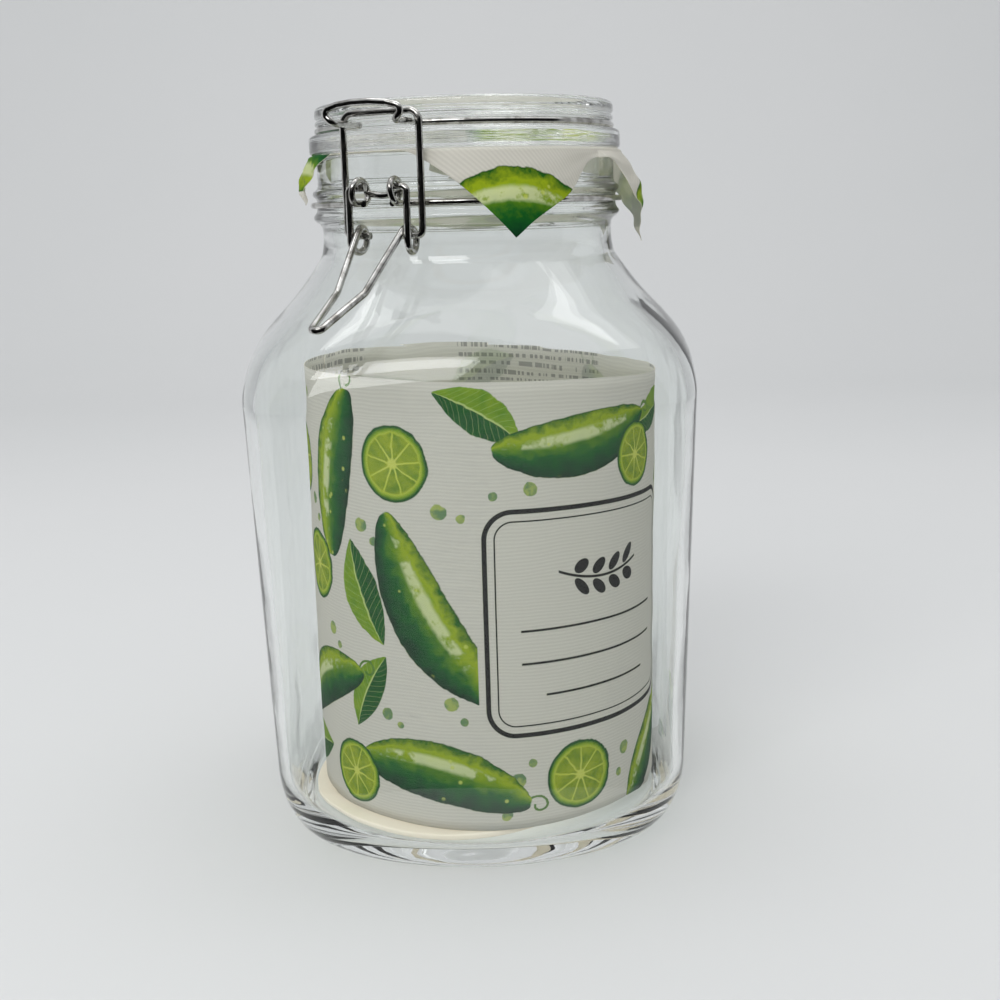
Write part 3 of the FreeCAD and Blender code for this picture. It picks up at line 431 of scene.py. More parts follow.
# Short hand for a node tree: adds nodes and links what is given to their inputs.
class nodeTree:
    def __init__(self, tree):
        self.tree = tree

    def fill(self, node, inputs):
        for key, value in inputs.items():
            if isinstance(value, bpy.types.NodeSocket):
                self.tree.links.new(value, node.inputs[key])
            else:
                node.inputs[key].default_value = value

    def add(self, kind, inputs=None, **settings):
        node = self.tree.nodes.new(kind)
        for key, value in settings.items():
            setattr(node, key, value)
        self.fill(node, inputs or {})
        return node

    def math(self, operation, a, b=None, c=None, clamp=False):
        inputs = {i: v for i, v in enumerate((a, b, c)) if v is not None}
        return self.add("ShaderNodeMath", inputs, operation=operation, use_clamp=clamp).outputs[0]

    def mix(self, factor, a, b, kind="MIX"):
        inputs = {0: factor, 6: a, 7: b}
        return self.add("ShaderNodeMix", inputs, data_type="RGBA", blend_type=kind).outputs[2]

    def ramp(self, factor, stops):
        node = self.add("ShaderNodeValToRGB", {"Fac": factor})
        band = node.color_ramp
        while len(band.elements) < len(stops):
            band.elements.new(0.5)
        for element, (place, tone) in zip(band.elements, stops):
            element.position, element.color = place, tone
        return node.outputs["Color"]

    # 0 below low, 1 above high, smooth between; turned round when low is the larger.
    def step(self, value, low, high):
        inputs = {"Value": value, "From Min": low, "From Max": high}
        return self.add("ShaderNodeMapRange", inputs, interpolation_type="SMOOTHSTEP").outputs["Result"]

    def noise(self, place, scale, detail, rough=0.5):
        inputs = {"Vector": place, "Scale": scale, "Detail": detail, "Roughness": rough}
        return self.add("ShaderNodeTexNoise", inputs).outputs["Fac"]

    def place(self):
        return self.add("ShaderNodeTexCoord").outputs["Object"]


def newMaterial(name):
    material = bpy.data.materials.new(name)
    material.use_nodes = True
    material.node_tree.nodes.clear()
    nodes = nodeTree(material.node_tree)
    return material, nodes, nodes.add("ShaderNodeOutputMaterial")


def newGroup(name, inputs, outputs):
    tree = bpy.data.node_groups.new(name, "ShaderNodeTree")
    for label, kind, value in inputs:
        socket = tree.interface.new_socket(label, in_out="INPUT", socket_type="NodeSocket" + kind)
        if value is not None:
            socket.default_value = value
    for label, kind in outputs:
        tree.interface.new_socket(label, in_out="OUTPUT", socket_type="NodeSocket" + kind)
    nodes = nodeTree(tree)
    return tree, nodes, nodes.add("NodeGroupInput"), nodes.add("NodeGroupOutput")


# Screen colour 0 to 255 as the linear colour that nodes want.
def colour(red, green, blue):
    out = []
    for value in (red, green, blue):
        v = value / 255
        out.append(v / 12.92 if v <= 0.04045 else ((v + 0.055) / 1.055) ** 2.4)
    return (*out, 1.0)


# the print: generic fruit and leaf shapes, each a group that gives a colour and a mask

placeInputs = [("Flat", "Vector", None), ("X", "Float", 0.0), ("Y", "Float", 0.0), ("Turn", "Float", 0.0),
               ("Long", "Float", 10.0), ("Wide", "Float", 10.0), ("Bend", "Float", 0.0)]
motifInputs = placeInputs + [("Blot", "Float", 0.5), ("Bead", "Float", 0.0)]


# Turns flat millimetres into a motif's own coordinates: along from -1 to 1, across from -1 to 1.
def localGroup():
    tree, n, gin, gout = newGroup("motifPlace", placeInputs, [("Along", "Float"), ("Across", "Float")])
    place = n.add("ShaderNodeCombineXYZ", {"X": gin.outputs["X"], "Y": gin.outputs["Y"]})
    moved = n.add("ShaderNodeVectorMath", {0: gin.outputs["Flat"], 1: place.outputs[0]}, operation="SUBTRACT")
    turned = n.add("ShaderNodeVectorRotate", {"Vector": moved.outputs[0], "Angle": gin.outputs["Turn"]},
                   rotation_type="Z_AXIS", invert=True)
    split = n.add("ShaderNodeSeparateXYZ", {0: turned.outputs[0]})
    along = n.math("DIVIDE", split.outputs["X"], gin.outputs["Long"])
    across = n.math("DIVIDE", split.outputs["Y"], gin.outputs["Wide"])
    square = n.math("MULTIPLY", along, along)
    bent = n.math("MULTIPLY_ADD", square, gin.outputs["Bend"], across)
    n.fill(gout, {"Along": along, "Across": bent})
    return tree


def placedMotif(name, local):
    tree, n, gin, gout = newGroup(name, motifInputs, [("Color", "Color"), ("Mask", "Float")])
    inputs = {key: gin.outputs[key] for key, kind, value in placeInputs}
    place = n.add("ShaderNodeGroup", inputs, node_tree=local)
    return tree, n, gin, gout, place.outputs["Along"], place.outputs["Across"]


# Long curved pod: deep green belly, light back with pale shine and small bumps.
def podGroup(local):
    tree, n, gin, gout, along, across = placedMotif("motifPod", local)
    square = n.math("MULTIPLY", along, along)
    belly = n.math("POWER", n.math("SUBTRACT", 1.0, square, clamp=True), 0.55)
    wide = n.math("DIVIDE", across, n.math("MAXIMUM", belly, 0.02))
    edge = n.math("ABSOLUTE", wide)
    mask = n.math("MULTIPLY", n.step(edge, 1.0, 0.955), n.step(square, 0.995, 0.96))
    blot = n.math("SUBTRACT", gin.outputs["Blot"], 0.5)
    shade = n.math("ADD", wide, n.math("MULTIPLY", blot, 0.95))
    body = n.ramp(n.math("MULTIPLY_ADD", shade, 0.5, 0.5), [
        (0.0, colour(0, 50, 22)), (0.16, colour(0, 74, 32)), (0.36, colour(10, 98, 28)),
        (0.56, colour(92, 138, 8)), (0.8, colour(160, 180, 22)), (1.0, colour(30, 100, 20))])
    shine = n.math("MULTIPLY", n.step(n.math("ABSOLUTE", n.math("SUBTRACT", wide, 0.3)), 0.26, 0.1),
                   n.step(n.math("ADD", n.math("ABSOLUTE", n.math("ADD", along, 0.08)),
                                 n.math("MULTIPLY", blot, 2.6)), 0.66, 0.2))
    body = n.mix(n.math("MULTIPLY", shine, 0.7), body, colour(232, 236, 190))
    bead = n.math("MULTIPLY", gin.outputs["Bead"], n.step(edge, 0.95, 0.7))
    body = n.mix(bead, body, colour(206, 216, 104))
    rim = n.step(edge, 0.9, 1.0)
    body = n.mix(n.math("MULTIPLY", rim, 0.7), body, colour(0, 48, 20))
    n.fill(gout, {"Color": body, "Mask": mask})
    return tree


# Pointed leaf with a pale midrib and side veins.
def leafGroup(local):
    tree, n, gin, gout, along, across = placedMotif("motifLeaf", local)
    square = n.math("MULTIPLY", along, along)
    belly = n.math("SUBTRACT", 1.0, square, clamp=True)
    wide = n.math("DIVIDE", across, n.math("MAXIMUM", belly, 0.03))
    edge = n.math("ABSOLUTE", wide)
    mask = n.math("MULTIPLY", n.step(edge, 1.0, 0.94), n.step(square, 0.99, 0.95))
    side = n.step(wide, -0.04, 0.04)
    blot = n.math("SUBTRACT", gin.outputs["Blot"], 0.5)
    soft = n.math("ADD", 0.5, n.math("MULTIPLY", blot, 1.3), clamp=True)
    strong = n.math("ADD", 0.5, n.math("MULTIPLY", blot, 1.5), clamp=True)
    dark = n.mix(soft, colour(0, 66, 26), colour(16, 104, 26))
    light = n.mix(strong, colour(70, 132, 10), colour(150, 174, 30))
    body = n.mix(side, dark, light)
    slant = n.math("SUBTRACT", n.math("MULTIPLY", along, 7.0), n.math("MULTIPLY", edge, 2.2))
    vein = n.step(n.math("ABSOLUTE", n.math("SUBTRACT", n.math("FRACT", slant), 0.5)), 0.07, 0.0)
    middle = n.step(edge, 0.07, 0.02)
    lines = n.math("MAXIMUM", n.math("MULTIPLY", vein, 0.45), n.math("MULTIPLY", middle, 0.9))
    body = n.mix(lines, body, colour(196, 212, 134))
    n.fill(gout, {"Color": body, "Mask": mask})
    return tree


wedgeCount = 9


# Round cut fruit: dark skin, pale ring, and wedges round a light middle.
def wheelGroup(local):
    tree, n, gin, gout, along, across = placedMotif("motifWheel", local)
    blot = n.math("SUBTRACT", gin.outputs["Blot"], 0.5)
    reach = n.math("SQRT", n.math("ADD", n.math("MULTIPLY", along, along), n.math("MULTIPLY", across, across)))
    skin = n.math("ADD", reach, n.math("MULTIPLY", blot, 0.05))
    mask = n.step(skin, 1.0, 0.965)
    turn = n.math("MULTIPLY", n.math("ARCTAN2", across, along), wedgeCount / (2 * math.pi))
    wedge = n.math("ABSOLUTE", n.math("SUBTRACT", n.math("FRACT", turn), 0.5))
    gap = n.math("MULTIPLY", n.math("SUBTRACT", 0.5, wedge), reach)
    band = n.math("MULTIPLY", n.step(skin, 0.8, 0.74), n.step(reach, 0.1, 0.17))
    flesh = n.math("MULTIPLY", n.step(gap, 0.015, 0.05), band)
    body = n.ramp(skin, [(0.0, colour(210, 216, 104)), (0.78, colour(190, 202, 66)), (0.87, colour(118, 158, 14)),
                         (0.93, colour(20, 92, 20)), (1.0, colour(0, 48, 20))])
    ripe = n.math("ADD", 0.45, n.math("MULTIPLY", blot, 2.2), clamp=True)
    pulp = n.mix(ripe, colour(84, 130, 6), colour(172, 184, 34))
    body = n.mix(n.math("MULTIPLY", flesh, 0.9), body, pulp)
    n.fill(gout, {"Color": body, "Mask": mask})
    return tree


# Thin stalk that curls through one turn.
def curlGroup(local):
    tree, n, gin, gout, along, across = placedMotif("motifCurl", local)
    reach = n.math("SQRT", n.math("ADD", n.math("MULTIPLY", along, along), n.math("MULTIPLY", across, across)))
    turn = n.math("MULTIPLY_ADD", n.math("ARCTAN2", across, along), 0.5 / math.pi, 0.5)
    gap = n.math("ABSOLUTE", n.math("SUBTRACT", reach, n.math("MULTIPLY_ADD", turn, 0.62, 0.3)))
    tone = n.mix(gin.outputs["Blot"], colour(30, 96, 30), colour(120, 156, 60))
    n.fill(gout, {"Color": tone, "Mask": n.step(gap, 0.12, 0.07)})
    return tree


def dotGroup():
    inputs = placeInputs[:3] + [("Size", "Float", 2.0), ("Blot", "Float", 0.5)]
    tree, n, gin, gout = newGroup("motifDot", inputs, [("Mask", "Float")])
    place = n.add("ShaderNodeCombineXYZ", {"X": gin.outputs["X"], "Y": gin.outputs["Y"]})
    gap = n.add("ShaderNodeVectorMath", {0: gin.outputs["Flat"], 1: place.outputs[0]}, operation="DISTANCE")
    share = n.math("DIVIDE", gap.outputs["Value"], gin.outputs["Size"])
    share = n.math("ADD", share, n.math("MULTIPLY", n.math("SUBTRACT", gin.outputs["Blot"], 0.5), 0.6))
    n.fill(gout, {"Mask": n.step(share, 1.0, 0.86)})
    return tree


# millimetres on the flat sheet: pods and leaves are x, y, turn, half length, half width, bend;
# wheels and dots are x, y, radius
rollPrint = {
    "tile": 196.0, "labelled": True,
    "pods": [(98, 116, 78, 29, 10.5, 0.4), (134, 72, -60, 35, 11.5, -0.5), (84, 42, 28, 27, 10.0, 0.5),
             (139, 20, -12, 31, 10.5, 0.5), (189, 127, 9, 31, 10.0, -0.4), (228, 18, 36, 27, 10.0, 0.4),
             (246, 108, 64, 25, 9.5, 0.3), (192, 78, -48, 31, 11.0, 0.45)],
    "leaves": [(111, 77, 112, 18, 8.0, 0.3), (155, 138, -30, 16, 7.0, 0.3), (112, 45, 62, 15, 6.5, 0.25),
               (70, 14, 20, 18, 7.5, 0.3), (228, 134, 20, 16, 7.0, -0.3), (168, 52, 72, 17, 7.5, 0.3)],
    "wheels": [(126, 121, 12.4), (84, 82, 12.0), (186, 16, 12.4), (214, 121, 11.0), (68, 116, 12.4),
               (104, 14, 11.5), (222, 86, 12.0), (208, 46, 12.2)],
    "dots": [(112, 100, 2.6), (117, 95, 1.5), (141, 107, 2.8), (148, 105, 1.6), (108, 132, 2.4), (82, 104, 2.2),
             (86, 98, 1.4), (120, 38, 2.2), (125, 35, 1.3), (143, 44, 2.6), (147, 38, 1.5), (164, 17, 2.8),
             (169, 23, 1.6), (206, 20, 2.6), (203, 12, 1.6), (158, 112, 1.5), (170, 114, 2.5), (94, 62, 2.4),
             (98, 57, 1.4), (160, 5, 1.8), (62, 60, 2.2), (66, 66, 1.4), (74, 140, 2.0), (188, 42, 2.4),
             (183, 48, 1.4), (166, 92, 2.3), (171, 97, 1.4)],
}
coverPrint = {
    "tile": 400.0, "labelled": False,
    "pods": [(7.6, 6.4, -38, 33, 11.5, 0.2), (97, 12, 40, 26, 10.5, 0.4), (9, 94, 50, 26, 10.5, -0.4),
             (76, 88, -30, 28, 9, 0.4)],
    "leaves": [(58, 56, 20, 20, 8.5, 0.3), (90, 52, 80, 18, 7.5, -0.3)],
    "wheels": [(44, 82, 12.0), (100, 84, 12.0)],
    "dots": [(72, 30, 2.2), (77, 26, 1.3), (20, 56, 2.3), (25, 60, 1.4), (76, 66, 2.2)],
}
label = {"x": 196.0, "y": 70.0, "halfWide": 41.0, "halfHigh": 37.0, "corner": 9.0, "line": 0.8, "clear": 3.0,
         "inset": 3.2, "rows": ((-2.0, 30.0), (-13.0, 30.0), (-24.0, 22.0)), "stemHigh": 13.0, "stemBow": 0.012,
         "leafOff": 3.4, "leafHigh": 2.6, "leafLong": 0.34, "leafGap": 7.0, "leafLean": 0.55,
         "ink": colour(22, 21, 20)}
blotScale, beadScale = 0.2, 0.17


# All of the print on one sheet. Flat is in metres; gives the colour of the ink and where it lies.
def printGroup(name, layout):
    tree, n, gin, gout = newGroup(name, [("Flat", "Vector", None)], [("Color", "Color"), ("Mask", "Float")])
    scaled = n.add("ShaderNodeVectorMath", {0: gin.outputs["Flat"], 3: 1000.0}, operation="SCALE")
    split = n.add("ShaderNodeSeparateXYZ", {0: scaled.outputs[0]})
    x, y = split.outputs["X"], split.outputs["Y"]
    blot = n.noise(scaled.outputs[0], blotScale, 4.0, 0.62)
    wobble = n.math("MULTIPLY", n.math("SUBTRACT", blot, 0.5), 1.6)
    cells = n.add("ShaderNodeTexVoronoi", {"Vector": scaled.outputs[0], "Scale": beadScale})
    bead = n.math("MULTIPLY", n.step(cells.outputs["Distance"], 0.15, 0.08), 0.7)
    tile = layout["tile"]
    local = localGroup()
    groups = {"leaves": leafGroup(local), "curls": curlGroup(local), "pods": podGroup(local),
              "wheels": wheelGroup(local)}
    curls = []
    for px, py, turn, long, wide, bend in layout["pods"]:
        east, north = math.cos(math.radians(turn)), math.sin(math.radians(turn))
        stalk, lean = long + 2.6, bend * wide
        curls.append((px + east * stalk + north * lean, py + north * stalk - east * lean, turn, 4.6, 4.0, 0.0))
    layout = {**layout, "curls": curls}
    dotTree = dotGroup()
    inkColour = n.mix(n.step(blot, 0.4, 0.6), colour(64, 122, 56), colour(158, 176, 60))
    inkMask = None

    # Coordinates repeat round the roll; each motif is centred in its own repeat, so none is cut.
    def tiled(centre):
        near = n.math("WRAP", n.math("ADD", x, wobble), centre + tile / 2, centre - tile / 2)
        return n.add("ShaderNodeCombineXYZ", {"X": near, "Y": n.math("ADD", y, wobble)}).outputs[0]

    for kind in groups:
        for spec in layout[kind]:
            if kind == "wheels":
                px, py, size = spec
                turn, long, wide, bend = 20.0 * size, size, size, 0.0
            else:
                px, py, turn, long, wide, bend = spec
            # made before its inputs, or the shader grows too big to compile
            motif = n.add("ShaderNodeGroup", node_tree=groups[kind])
            n.fill(motif, {"Flat": tiled(px), "X": px, "Y": py, "Turn": math.radians(turn), "Long": long,
                           "Wide": wide, "Bend": bend, "Blot": blot, "Bead": bead})
            inkColour = n.mix(motif.outputs["Mask"], inkColour, motif.outputs["Color"])
            mask = motif.outputs["Mask"]
            inkMask = mask if inkMask is None else n.math("MAXIMUM", inkMask, mask)
    for px, py, size in layout["dots"]:
        spot = n.add("ShaderNodeGroup", node_tree=dotTree)
        n.fill(spot, {"Flat": tiled(px), "X": px, "Y": py, "Size": size, "Blot": blot})
        inkMask = n.math("MAXIMUM", inkMask, n.math("MULTIPLY", spot.outputs["Mask"], 0.85))
    if layout["labelled"]:
        inkColour, inkMask = labelInk(n, x, y, inkColour, inkMask)
    n.fill(gout, {"Color": inkColour, "Mask": inkMask})
    return tree


# Blank write-on label: a framed field with three lines to write on and a small leaf sprig.
def labelInk(n, x, y, inkColour, inkMask):
    d = label
    right, up = n.math("SUBTRACT", x, d["x"]), n.math("SUBTRACT", y, d["y"])
    dx, dy = n.math("ABSOLUTE", right), n.math("ABSOLUTE", up)

    def field(grow):
        ex = n.math("MAXIMUM", n.math("SUBTRACT", dx, d["halfWide"] + grow - d["corner"]), 0.0)
        ey = n.math("MAXIMUM", n.math("SUBTRACT", dy, d["halfHigh"] + grow - d["corner"]), 0.0)
        reach = n.math("SQRT", n.math("ADD", n.math("MULTIPLY", ex, ex), n.math("MULTIPLY", ey, ey)))
        return n.math("SUBTRACT", reach, d["corner"])

    clear = n.step(field(d["clear"]), 0.15, -0.15)
    inkMask = n.math("MULTIPLY", inkMask, n.math("SUBTRACT", 1.0, clear))
    edge = field(0.0)
    frameLine = n.step(n.math("ABSOLUTE", edge), d["line"] + 0.1, d["line"] - 0.1)
    fine = n.step(n.math("ABSOLUTE", n.math("ADD", edge, d["inset"])), 0.32, 0.18)
    dark = n.math("MAXIMUM", frameLine, fine)
    for level, reach in d["rows"]:
        row = n.step(n.math("ABSOLUTE", n.math("SUBTRACT", up, level)), 0.5, 0.3)
        dark = n.math("MAXIMUM", dark, n.math("MULTIPLY", row, n.step(dx, reach + 0.2, reach - 0.2)))
    bow = n.math("MULTIPLY", n.math("MULTIPLY", right, right), d["stemBow"])
    offStem = n.math("ABSOLUTE", n.math("SUBTRACT", up, n.math("ADD", d["stemHigh"], bow)))
    stem = n.math("MULTIPLY", n.step(offStem, 0.55, 0.35), n.step(dx, 17.3, 17.0))
    dark = n.math("MAXIMUM", dark, stem)
    leaning = n.math("SUBTRACT", right, n.math("MULTIPLY", offStem, d["leafLean"]))
    across = n.math("DIVIDE", n.math("SUBTRACT", offStem, d["leafOff"]), d["leafHigh"])
    cell = n.math("SUBTRACT", n.math("FRACT", n.math("DIVIDE", leaning, d["leafGap"])), 0.5)
    along = n.math("DIVIDE", cell, d["leafLong"])
    leaf = n.math("ADD", n.math("MULTIPLY", across, across), n.math("MULTIPLY", along, along))
    whole = n.step(n.math("ABSOLUTE", leaning), 14.1, 13.9)
    dark = n.math("MAXIMUM", dark, n.math("MULTIPLY", n.step(leaf, 1.05, 0.95), whole))
    return n.mix(dark, inkColour, d["ink"]), n.math("MAXIMUM", inkMask, dark)


paperLook = {
    "tone": colour(229, 226, 217), "shade": colour(211, 208, 199),
    # painted light: the reverse side is the same paper painted lighter than the printed side, to make up for the
    # little light that reaches the inside of the roll; the cover's reverse uses these colours too
    "backToneWithPaintedLight": colour(250, 248, 238), "backShadeWithPaintedLight": colour(236, 234, 224), "wordTone": colour(112, 111, 107),
    "inkFade": colour(196, 200, 186), "inkGrain": 0.3, "backInk": 0.16, "through": 0.34, "rough": 0.62, "shine": 0.2,
    "rib": 1.15, "ribDeep": 0.35, "ribBow": 0.0035, "bump": 0.25, "bumpDeep": 0.00006,
}


def paperMaterial(name, printTree, ribsAcross, back=False):
    d = paperLook
    material, n, out = newMaterial(name)
    uv = n.add("ShaderNodeUVMap", uv_map="flat").outputs[0]
    split = n.add("ShaderNodeSeparateXYZ", {0: uv})
    grain, cloud = n.noise(uv, 900.0, 4.0, 0.6), n.noise(uv, 30.0, 3.0)
    bow = n.math("MULTIPLY_ADD", cloud, d["ribBow"], split.outputs["X" if ribsAcross else "Y"])
    ribs = n.math("SINE", n.math("MULTIPLY", bow, 2 * math.pi / (d["rib"] * mm)))
    ribShare = n.math("MULTIPLY_ADD", ribs, 0.5, 0.5)
    share = n.math("MULTIPLY", ribShare, n.math("MULTIPLY_ADD", grain, 0.5, 0.25))
    # on the reverse side the paper takes the lighter colours, which are painted light
    paper = n.mix(share, d["backShadeWithPaintedLight" if back else "shade"], d["backToneWithPaintedLight" if back else "tone"])
    if back and not ribsAcross:
        paper = n.mix(backWords(n, split), paper, d["wordTone"])
    ink = n.add("ShaderNodeGroup", {"Flat": uv}, node_tree=printTree)
    tint = n.mix(n.math("MULTIPLY", grain, d["inkGrain"]), ink.outputs["Color"], d["inkFade"], "OVERLAY")
    paper = n.mix(n.math("MULTIPLY", ink.outputs["Mask"], d["backInk"] if back else 1.0), paper, tint)
    height = n.math("ADD", n.math("MULTIPLY", ribs, d["ribDeep"]), grain)
    bump = n.add("ShaderNodeBump", {"Height": height, "Strength": d["bump"], "Distance": d["bumpDeep"]}).outputs[0]
    shader = n.add("ShaderNodeBsdfPrincipled", {
        "Base Color": paper, "Roughness": d["rough"], "Normal": bump, "Specular IOR Level": d["shine"]})
    behind = n.add("ShaderNodeBsdfTranslucent", {"Color": paper, "Normal": bump})
    both = n.add("ShaderNodeMixShader", {0: d["through"], 1: shader.outputs[0], 2: behind.outputs[0]})
    n.fill(out, {"Surface": both.outputs[0]})
    return material


wordSizes = {"row": 0.0031, "letters": 760.0, "rowShift": 7.3, "blocks": 62.0, "dark": 0.6}


# Faint grey dashes in rows, as of small print on the sheet's other side.
def backWords(n, split):
    d = wordSizes
    row = n.math("MULTIPLY", split.outputs["Y"], 1 / d["row"])
    line = n.math("FLOOR", row)
    inRow = n.step(n.math("ABSOLUTE", n.math("SUBTRACT", n.math("FRACT", row), 0.5)), 0.26, 0.2)
    across = n.math("MULTIPLY", split.outputs["X"], d["letters"])
    place = n.add("ShaderNodeCombineXYZ", {"X": across, "Y": n.math("MULTIPLY", line, d["rowShift"])})
    dashes = n.step(n.noise(place.outputs[0], 1.0, 1.0), 0.47, 0.5)
    blocks = n.step(n.math("SINE", n.math("MULTIPLY", split.outputs["X"], d["blocks"])), -0.35, -0.25)
    return n.math("MULTIPLY", n.math("MULTIPLY", inRow, dashes), n.math("MULTIPLY", blocks, d["dark"]))


edgeLook = {"dark": colour(216, 208, 188), "light": colour(238, 232, 214), "rough": 0.8}


def edgeMaterial():
    d = edgeLook
    material, n, out = newMaterial("paperEdge")
    tone = n.mix(n.noise(n.place(), 1500.0, 3.0), d["dark"], d["light"])
    shader = n.add("ShaderNodeBsdfPrincipled", {"Base Color": tone, "Roughness": d["rough"]})
    n.fill(out, {"Surface": shader.outputs[0]})
    return material


# glass, wire, rubber

glassLook = {"tint": (0.965, 0.985, 0.972, 1), "clearTint": (0.96, 0.975, 0.968, 1), "index": 1.5, "shine": 0.15,
             "through": (0.965, 0.975, 0.97, 1), "haze": 0.035, "wave": 0.12, "waveDeep": 0.004,
             "lidStreaks": 0.045, "streakScale": (6.0, 6.0, 700.0)}


# Clear soda glass. Light on its way to what stands inside passes straight through.
# Streaks are level waves from the turning mould, on the lid.
def glassMaterial(name, streaks):
    d = glassLook
    material, n, out = newMaterial(name)
    place = n.place()
    swirl = n.noise(place, 26.0, 2.0, 0.4)
    rough = n.math("MULTIPLY", n.step(n.noise(place, 140.0, 5.0, 0.65), 0.62, 0.8), d["haze"])
    height = swirl
    if streaks:
        squeeze = n.add("ShaderNodeMapping", {"Vector": place, "Scale": d["streakScale"]})
        height = n.math("MULTIPLY_ADD", n.noise(squeeze.outputs[0], 1.0, 3.0), streaks, height)
    bump = n.add("ShaderNodeBump", {"Height": height, "Strength": d["wave"], "Distance": d["waveDeep"]})
    shader = n.add("ShaderNodeBsdfPrincipled", {
        "Base Color": n.mix(swirl, d["tint"], d["clearTint"]), "Roughness": rough, "IOR": d["index"],
        "Transmission Weight": 1.0, "Specular IOR Level": d["shine"], "Normal": bump.outputs[0]})
    path = n.add("ShaderNodeLightPath")
    through = n.add("ShaderNodeBsdfTransparent", {"Color": d["through"]})
    pick = n.math("MAXIMUM", path.outputs["Is Shadow Ray"], path.outputs["Is Diffuse Ray"])
    blend = n.add("ShaderNodeMixShader", {0: pick, 1: shader.outputs[0], 2: through.outputs[0]})
    n.fill(out, {"Surface": blend.outputs[0]})
    return material


wireLook = {"tone": colour(204, 203, 200), "grime": colour(138, 135, 130), "rough": 0.11, "grimeRough": 0.16,
            "bump": 0.1, "bumpDeep": 0.00005}


# Bright drawn steel wire with a fine grain and a little dull grime.
def wireMaterial():
    d = wireLook
    material, n, out = newMaterial("platedWire")
    place = n.place()
    dull, fine = n.noise(place, 220.0, 6.0, 0.65), n.noise(place, 2600.0, 2.0)
    tone = n.mix(n.step(dull, 0.4, 0.7), d["tone"], d["grime"])
    rough = n.math("MULTIPLY_ADD", n.step(dull, 0.35, 0.75), d["grimeRough"], d["rough"])
    bump = n.add("ShaderNodeBump", {"Height": fine, "Strength": d["bump"], "Distance": d["bumpDeep"]})
    shader = n.add("ShaderNodeBsdfPrincipled", {
        "Base Color": tone, "Metallic": 1.0, "Roughness": rough, "Normal": bump.outputs[0]})
    n.fill(out, {"Surface": shader.outputs[0]})
    return material


rubberLook = {"dark": colour(234, 222, 200), "light": colour(244, 234, 216), "rough": 0.55, "bump": 0.2,
              "bumpDeep": 0.0001}


def rubberMaterial():
    d = rubberLook
    material, n, out = newMaterial("creamRubber")
    place = n.place()
    tone = n.mix(n.noise(place, 60.0, 4.0), d["dark"], d["light"])
    speck = n.noise(place, 1400.0, 3.0)
    bump = n.add("ShaderNodeBump", {"Height": speck, "Strength": d["bump"], "Distance": d["bumpDeep"]})
    shader = n.add("ShaderNodeBsdfPrincipled", {
        "Base Color": tone, "Roughness": d["rough"], "Normal": bump.outputs[0]})
    n.fill(out, {"Surface": shader.outputs[0]})
    return material


# floor, light and camera

studio = {
    "floorTone": colour(214, 214, 214), "floorShade": colour(210, 211, 211), "floorDrop": 0.0004, "halfWide": 2.6,
    "front": -1.6, "bendStart": 1.0, "bendRound": 0.8, "top": 2.6,
    "glowTone": (0.34, 0.35, 0.345, 1), "glowStart": 0.05, "glowEnd": 0.066,
    "worldTone": (0.86, 0.88, 0.9, 1), "worldPower": 0.72,
    "cardTone": (0.003, 0.003, 0.003, 1), "cardNear": 0.125, "cardReach": 0.85, "cardLow": 0.0006,
    "cardHigh": 0.75, "cardHalf": 78,
    "lights": (  # name, place, aim, width, height, power
        ("topLight", (0.1, 0.2, 1.5), (0, 0, 0.1), 1.6, 1.2, 5.0),
        ("frontLight", (-0.5, -1.1, 1.1), (0, 0, 0.12), 1.0, 0.7, 11.0),
        ("backdropLight", (0.0, 0.3, 2.0), (0, 1.6, 0.6), 2.0, 0.6, 7.1)),
    # thick glass needs many turns of light
    "bounces": {"max_bounces": 16, "glossy_bounces": 8, "transmission_bounces": 16, "transparent_max_bounces": 20},
}
viewSizes = {"reach": 454.0, "level": 211.2, "aside": 8.7, "focal": 1298.0, "pitch": 12.794, "roll": -1.536,
             "sensor": 36.0}


# Pale floor that sweeps up behind into a plain backdrop. Its glow stands for light that the glass gathers under it.
def makeFloor():
    d = studio
    bend, turn = d["bendStart"], d["bendRound"]
    line = [(y, -d["floorDrop"]) for y in np.linspace(d["front"], bend, 14)]
    line += [(bend + turn * math.sin(a), turn - turn * math.cos(a)) for a in np.linspace(0.08, math.pi / 2, 20)]
    line += [(bend + turn, 1.2), (bend + turn, d["top"])]
    points, faces = [], []
    for y, z in line:
        points += [(-d["halfWide"], y, z), (d["halfWide"], y, z)]
    for i in range(len(line) - 1):
        a = 2 * i
        faces.append((a, a + 1, a + 3, a + 2))
    floor = meshObject("floor", points, faces)
    material, n, out = newMaterial("paleFloor")
    place = n.place()
    tone = n.mix(n.noise(place, 3.0, 4.0), d["floorTone"], d["floorShade"])
    away = n.add("ShaderNodeVectorMath", {0: place, 1: (axisPoint.x, axisPoint.y, 0.0)}, operation="DISTANCE")
    under = n.step(away.outputs["Value"], d["glowEnd"], d["glowStart"])
    shader = n.add("ShaderNodeBsdfPrincipled", {
        "Base Color": tone, "Roughness": 0.9, "Specular IOR Level": 0.0,
        "Emission Color": n.mix(under, (0, 0, 0, 1), d["glowTone"]), "Emission Strength": 1.0})
    n.fill(out, {"Surface": shader.outputs[0]})
    floor.data.materials.append(material)


def makeWorld():
    world = bpy.data.worlds.new("studioWorld")
    bpy.context.scene.world = world
    world.use_nodes = True
    world.node_tree.nodes.clear()
    n = nodeTree(world.node_tree)
    back = n.add("ShaderNodeBackground", {"Color": studio["worldTone"], "Strength": studio["worldPower"]})
    n.add("ShaderNodeOutputWorld", {"Surface": back.outputs[0]})


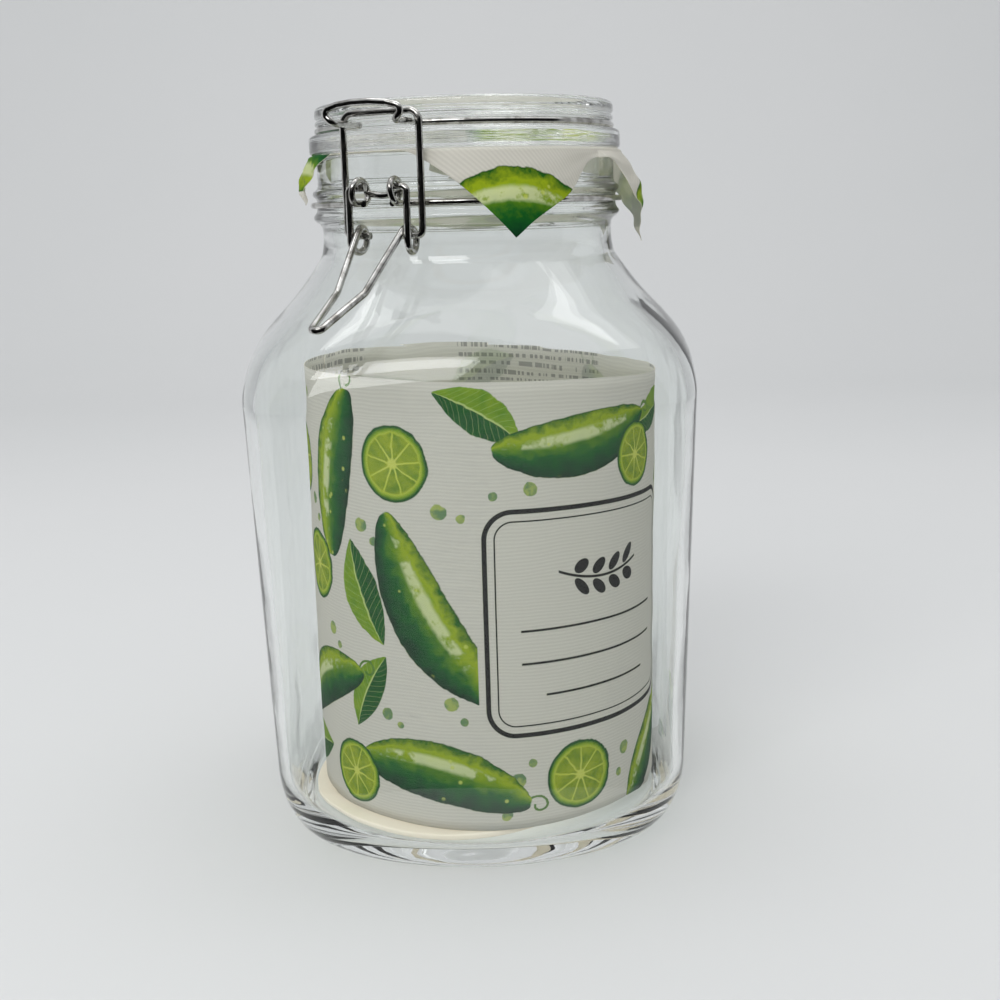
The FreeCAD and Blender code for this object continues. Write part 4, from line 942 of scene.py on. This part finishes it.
# Dark screen in front, met only by reflections: it gives the wires their black lines and keeps the glass clear.
def makeCard():
    d = studio
    points, faces = [], []
    steps = np.radians(np.linspace(-90 - d["cardHalf"], -90 + d["cardHalf"], 25))
    near, far, low, high = d["cardNear"], d["cardReach"], d["cardLow"], d["cardHigh"]
    for a in steps:
        for reach, z in ((near, low), (far, low), (far, high)):
            points.append((reach * math.cos(a), reach * math.sin(a), z))
    for i in range(len(steps) - 1):
        for j in range(2):
            faces.append((3 * i + j, 3 * i + j + 3, 3 * i + j + 4, 3 * i + j + 1))
    card = meshObject("darkScreen", points, faces)
    material, n, out = newMaterial("darkScreen")
    shade = n.add("ShaderNodeEmission", {"Color": d["cardTone"], "Strength": 1.0})
    n.fill(out, {"Surface": shade.outputs[0]})
    card.data.materials.append(material)
    card.visible_camera = card.visible_diffuse = card.visible_transmission = card.visible_shadow = False


def softLight(name, place, aim, wide, high, power):
    lamp = bpy.data.lights.new(name, "AREA")
    lamp.shape = "RECTANGLE"
    lamp.size, lamp.size_y = wide, high
    lamp.energy = power
    thing = bpy.data.objects.new(name, lamp)
    bpy.context.scene.collection.objects.link(thing)
    thing.location = place
    thing.rotation_euler = (Vector(aim) - Vector(place)).to_track_quat("-Z", "Y").to_euler()


def makeCamera():
    d = viewSizes
    lens = bpy.data.cameras.new("mainCamera")
    lens.sensor_width = d["sensor"]
    lens.lens = d["focal"] / 1000 * d["sensor"]
    camera = bpy.data.objects.new("mainCamera", lens)
    bpy.context.scene.collection.objects.link(camera)
    turn = Matrix.Rotation(math.radians(90 - d["pitch"]), 4, "X") @ Matrix.Rotation(math.radians(d["roll"]), 4, "Z")
    place = Vector((axisPoint.x + d["aside"] * mm, axisPoint.y - d["reach"] * mm, d["level"] * mm))
    camera.matrix_world = Matrix.Translation(place) @ turn
    bpy.context.scene.camera = camera


glass, lidGlass = glassMaterial("clearGlass", 0.0), glassMaterial("lidGlass", glassLook["lidStreaks"])
wire, rubber, edge = wireMaterial(), rubberMaterial(), edgeMaterial()
rollInk, coverInk = printGroup("rollInk", rollPrint), printGroup("coverInk", coverPrint)
rollFront = paperMaterial("rollPrint", rollInk, False)
rollBack = paperMaterial("rollReverse", rollInk, False, back=True)
coverFront = paperMaterial("coverPrint", coverInk, True)
coverBack = paperMaterial("coverReverse", coverInk, True, back=True)
print("materials ready")

jar, lid, seal = makeJar(), makeLid(), makeSeal()
for piece, material in ((jar, glass), (lid, lidGlass), (seal, rubber)):
    piece.data.materials.append(material)
print("glass and seal ready")
makeRoll((rollFront, rollBack, edge))
makeCover((coverFront, coverBack, edge))
print("paper ready")
for node in ("neck_band", "lid_ring", "lever", "bail"):
    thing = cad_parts[node]
    for slot in thing.material_slots:
        slot.material = wire
    if not thing.material_slots:
        thing.data.materials.append(wire)
print("wire ready")

makeFloor()
makeWorld()
makeCard()
for lamp in studio["lights"]:
    softLight(*lamp)
makeCamera()
bpy.context.scene.view_settings.view_transform = "Standard"
for setting, count in studio["bounces"].items():
    setattr(bpy.context.scene.cycles, setting, count)
print("studio ready")
